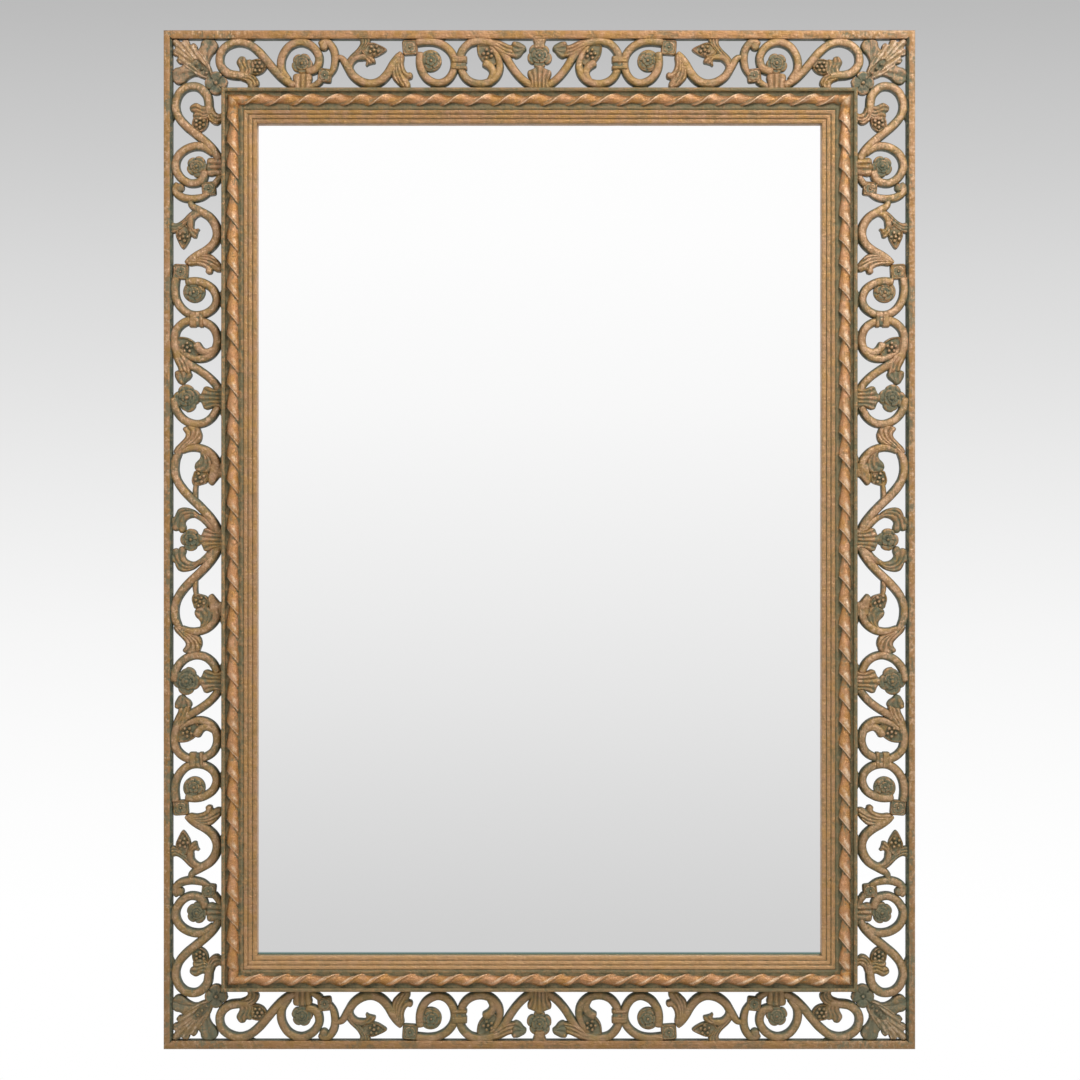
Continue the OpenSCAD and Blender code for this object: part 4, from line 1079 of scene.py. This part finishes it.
# Corner leaves: a fluted leaf with two curled side lobes, three beads and a flower
cornerHalf = [[9.6, 9.6], [13.4, 8.6], [18, 11.6], [20.5, 9.4], [25.6, 9.8], [27.6, 14.4], [31, 12.8],
              [34.4, 15.4], [35.2, 19.4], [38, 21.4], [42, 26.5], [46.5, 33], [49.6, 39.4], [50.8, 45.6]]
fanHalf = [[[17, 8], [24, 18.5], [31.6, 29], [37, 35.6]], [[26, 10.5], [31.6, 20], [37.6, 29],
           [43.4, 37.6], [46.6, 44]], [[34, 15.5], [38.6, 23], [43.8, 31], [47.6, 38.4], [49.4, 45]]]
seatHalf = [[30.8, 30.8], [34.8, 30.0], [40.8, 34.2], [46.6, 40.2], [49.2, 45.8], [48.8, 48.8]]
cornerSide = [[37.5, 17], [39, 11.4], [43.5, 8.4], [50, 8.2], [54.6, 11], [56.6, 15.6], [55, 21],
              [50.6, 25.6], [47.8, 31], [46.8, 36], [38, 31], [34, 22]]
cornerSideRidges = [[[44.4, 34], [42, 26], [41.6, 17], [43.4, 9]], [[46.2, 33.4], [48, 26], [51.6, 18],
                    [54.6, 12.4]]]


# places on the mitre: the beads, the block behind the flower, and the flower
cornerWork = {"beads": (35.6, 40.2, 44.8), "bead": 1.9, "block": [57.4, 57.4], "half": 8.6,
              "flower": [54.4, 54.8], "radius": 12.2}


def swapped(points):
    return [[p[1], p[0]] + list(p[2:]) for p in points]


def mirroredLoop(half, count):
    # half of an outline, closed by its image across the mitre
    return toBand(4, smoothLoop(half + swapped(half[:0:-1]), count))


def cornerParts():
    parts, floor, edge = [], bandBack, rimWide + 0.4
    for turn in (list, swapped):
        loop = np.maximum(toBand(4, smoothLoop(turn(cornerSide), 5)), edge)
        lines = [toBand(4, smoothLine(turn(r), 6)) for r in cornerSideRidges]
        parts.append(leaf(loop, lines, "flute", -0.2, floor + 0.02 + 0.03 * len(parts), 0.54, carve=0.8))
    main, seat = np.maximum(mirroredLoop(cornerHalf, 5), edge), mirroredLoop(seatHalf, 4)
    lines = [[[7, 7], [20, 20], [34, 34]]] + fanHalf + [swapped(r) for r in fanHalf]
    lines = [toBand(4, smoothLine(r, 6)) for r in lines]
    parts.append(leaf(main, lines, "flute", 0.9, floor + 0.035, 0.98, seat, 0.7))
    for c in cornerWork["beads"]:
        parts.append(berry(spot(4, [c, c]), cornerWork["bead"] * bandScale, 26.4, 0.8))
    block = spot(4, cornerWork["block"]) + squareLoop([0, 0], cornerWork["half"], 45)
    parts.append(leaf(np.minimum(block, mouldAt + 2), [], "flute", -2.0, floor + 0.028, 0.25))
    middle, radius = spot(4, cornerWork["flower"]), cornerWork["radius"] * bandScale
    return parts + flower(middle, radius, 4, 0.0, 0.3, floor + 0.041, 1, 0.2, 0.6, 0.26)


cornerShapes = cornerParts()
corners = {"top_left": (-1, 1), "top_right": (1, 1), "bottom_right": (1, -1), "bottom_left": (-1, -1)}
for name, (sx, sz) in corners.items():
    carving = Carving()
    for place, depth, faces, rubs in cornerShapes:
        there = np.stack([sx * (halfWide - place[:, 0]), -depth, sz * (halfHigh - place[:, 1])], 1) * mm
        carving.add(there, faces, rubs)
    carving.build("leaf_" + name + "_carved", [leafFinish], "leaf_verdigris", "leaf_" + name, 40)
print("corner leaves done")


# Glass, board and the fittings at the back
# metal: pale, dull, roughness, brush lines
metals = {"zinc": (srgb(186, 186, 182), srgb(140, 140, 136), 0.34, 0.6),
          "steel": (srgb(176, 172, 160), srgb(120, 114, 100), 0.32, 0.4),
          "brass": (srgb(206, 178, 112), srgb(158, 128, 76), 0.28, 0.5)}
zinc = metalFinish("zincPlate", *metals["zinc"])
steel = metalFinish("screwSteel", *metals["steel"])
brass = metalFinish("hangerBrass", *metals["brass"])
# by how the names begin
dressing = {"mirror_glass": silverFinish(), "backing_board": boardFinish(), "bumpers": rubberFinish(),
            "glass_clips": zinc, "brace_": zinc, "back_screws": steel, "hanger_": brass, "ring_": brass}
for name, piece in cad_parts.items():
    for start, material in dressing.items():
        if name.startswith(start):
            piece.data.materials.clear()
            piece.data.materials.append(material)
print("fittings dressed")


# Stage: pale floor, plain soft light, and a backdrop that runs from grey to white
stageWork = {"floor": -0.90, "reach": 1.75, "fade": (0.55, 0.98), "pale": 236, "ambient": 0.36,
             "lens": 94.7, "sensor": 36, "camera": (0.0006, -3.0, -0.0003)}
# light: place, aim, size, power, whether it shows in the glass
lights = {"keyLight": ((0.85, -1.4, 1.45), (0, 0, 0.2), (1.0, 0.7), 21.5, True),
          "fillLight": ((-1.9, -2.2, 0.6), (0, 0, 0), (1.6, 1.6), 4.0, False),
          "backLight": ((0.6, 2.6, 1.8), (0, 0, 0), (1.8, 1.4), 4.0, True)}


def cameraView():
    camera = bpy.data.objects.new("photoCamera", bpy.data.cameras.new("photoCamera"))
    bpy.context.collection.objects.link(camera)
    camera.data.lens, camera.data.sensor_width = stageWork["lens"], stageWork["sensor"]
    camera.location = stageWork["camera"]
    camera.rotation_euler = (math.radians(90), 0, 0)
    camera.data.clip_end = 60
    bpy.context.scene.camera = camera


def floorDisc():
    # fades out toward its edge
    reach, pale, (inner, outer) = stageWork["reach"], stageWork["pale"], stageWork["fade"]
    mesh = bpy.data.meshes.new("paleFloor")
    work = bmesh.new()
    bmesh.ops.create_circle(work, cap_ends=True, segments=96, radius=reach)
    work.to_mesh(mesh)
    work.free()
    floor = bpy.data.objects.new("paleFloor", mesh)
    floor.location = (0, 0, stageWork["floor"])
    bpy.context.collection.objects.link(floor)
    material, f, place = newFinish("floorPale")
    far = f.node("VectorMath", {"operation": "LENGTH"}, {0: place}, "Value")
    shown = 1 - far.ramp(inner * reach, outer * reach)
    f.surface(Base_Color=srgb(pale, pale, pale), Roughness=0.9, Alpha=shown)
    mesh.materials.append(material)


def softLight(name, place, aim, size, power, shiny):
    lamp = bpy.data.lights.new(name, "AREA")
    lamp.shape, lamp.size, lamp.size_y, lamp.energy = "RECTANGLE", size[0], size[1], power
    thing = bpy.data.objects.new(name, lamp)
    thing.location = place
    way = np.array(aim) - np.array(place)
    thing.rotation_euler = Vector(way).to_track_quat("-Z", "Y").to_euler()
    thing.visible_glossy = shiny
    bpy.context.collection.objects.link(thing)


# greys by height: what stands behind the mirror, and what stands before it and shows in the glass
skyTones = {
    "behind": [(0.0, 186), (0.4307, 209), (0.4544, 221), (0.472, 230), (0.4897, 237), (0.5074, 243),
               (0.5243, 249), (0.5521, 254), (0.5703, 255)],
    "before": [(0.4369, 255), (0.453, 253), (0.4687, 250), (0.4842, 246), (0.5, 240), (0.5158, 233),
               (0.5313, 225), (0.547, 217), (0.5625, 207), (0.5779, 197), (0.5931, 186), (0.75, 172)]}


def studioWorld():
    # eyes and mirrors see the backdrop, and everything else gets an even light
    world = bpy.data.worlds.new("studio")
    bpy.context.scene.world = world
    f = Finish(world)
    way = f.node("TexCoord", out="Generated")
    level = f.axis(way, 2) * 0.5 + 0.5
    behind = f.node("ValToRGB", {"stops": skyTones["behind"]}, {0: level})
    before = f.node("ValToRGB", {"stops": skyTones["before"]}, {0: level})
    seen = f.blend(behind, before, f.axis(way, 1).ramp(-0.25, 0.25))
    share = f.node("LightPath", out="Is Camera Ray")
    for ray in ("Is Glossy Ray", "Is Transmission Ray"):
        share = share.math("MAXIMUM", f.node("LightPath", out=ray))
    a = stageWork["ambient"]
    back = f.node("Background", {}, {"Color": f.blend((a, a, a, 1), seen, share), "Strength": 1.0})
    f.node("OutputWorld", {}, {"Surface": back})


cameraView()
floorDisc()
for name, light in lights.items():
    softLight(name, *light)
studioWorld()

scene = bpy.context.scene
scene.view_settings.view_transform = "Standard"
print("stage done")
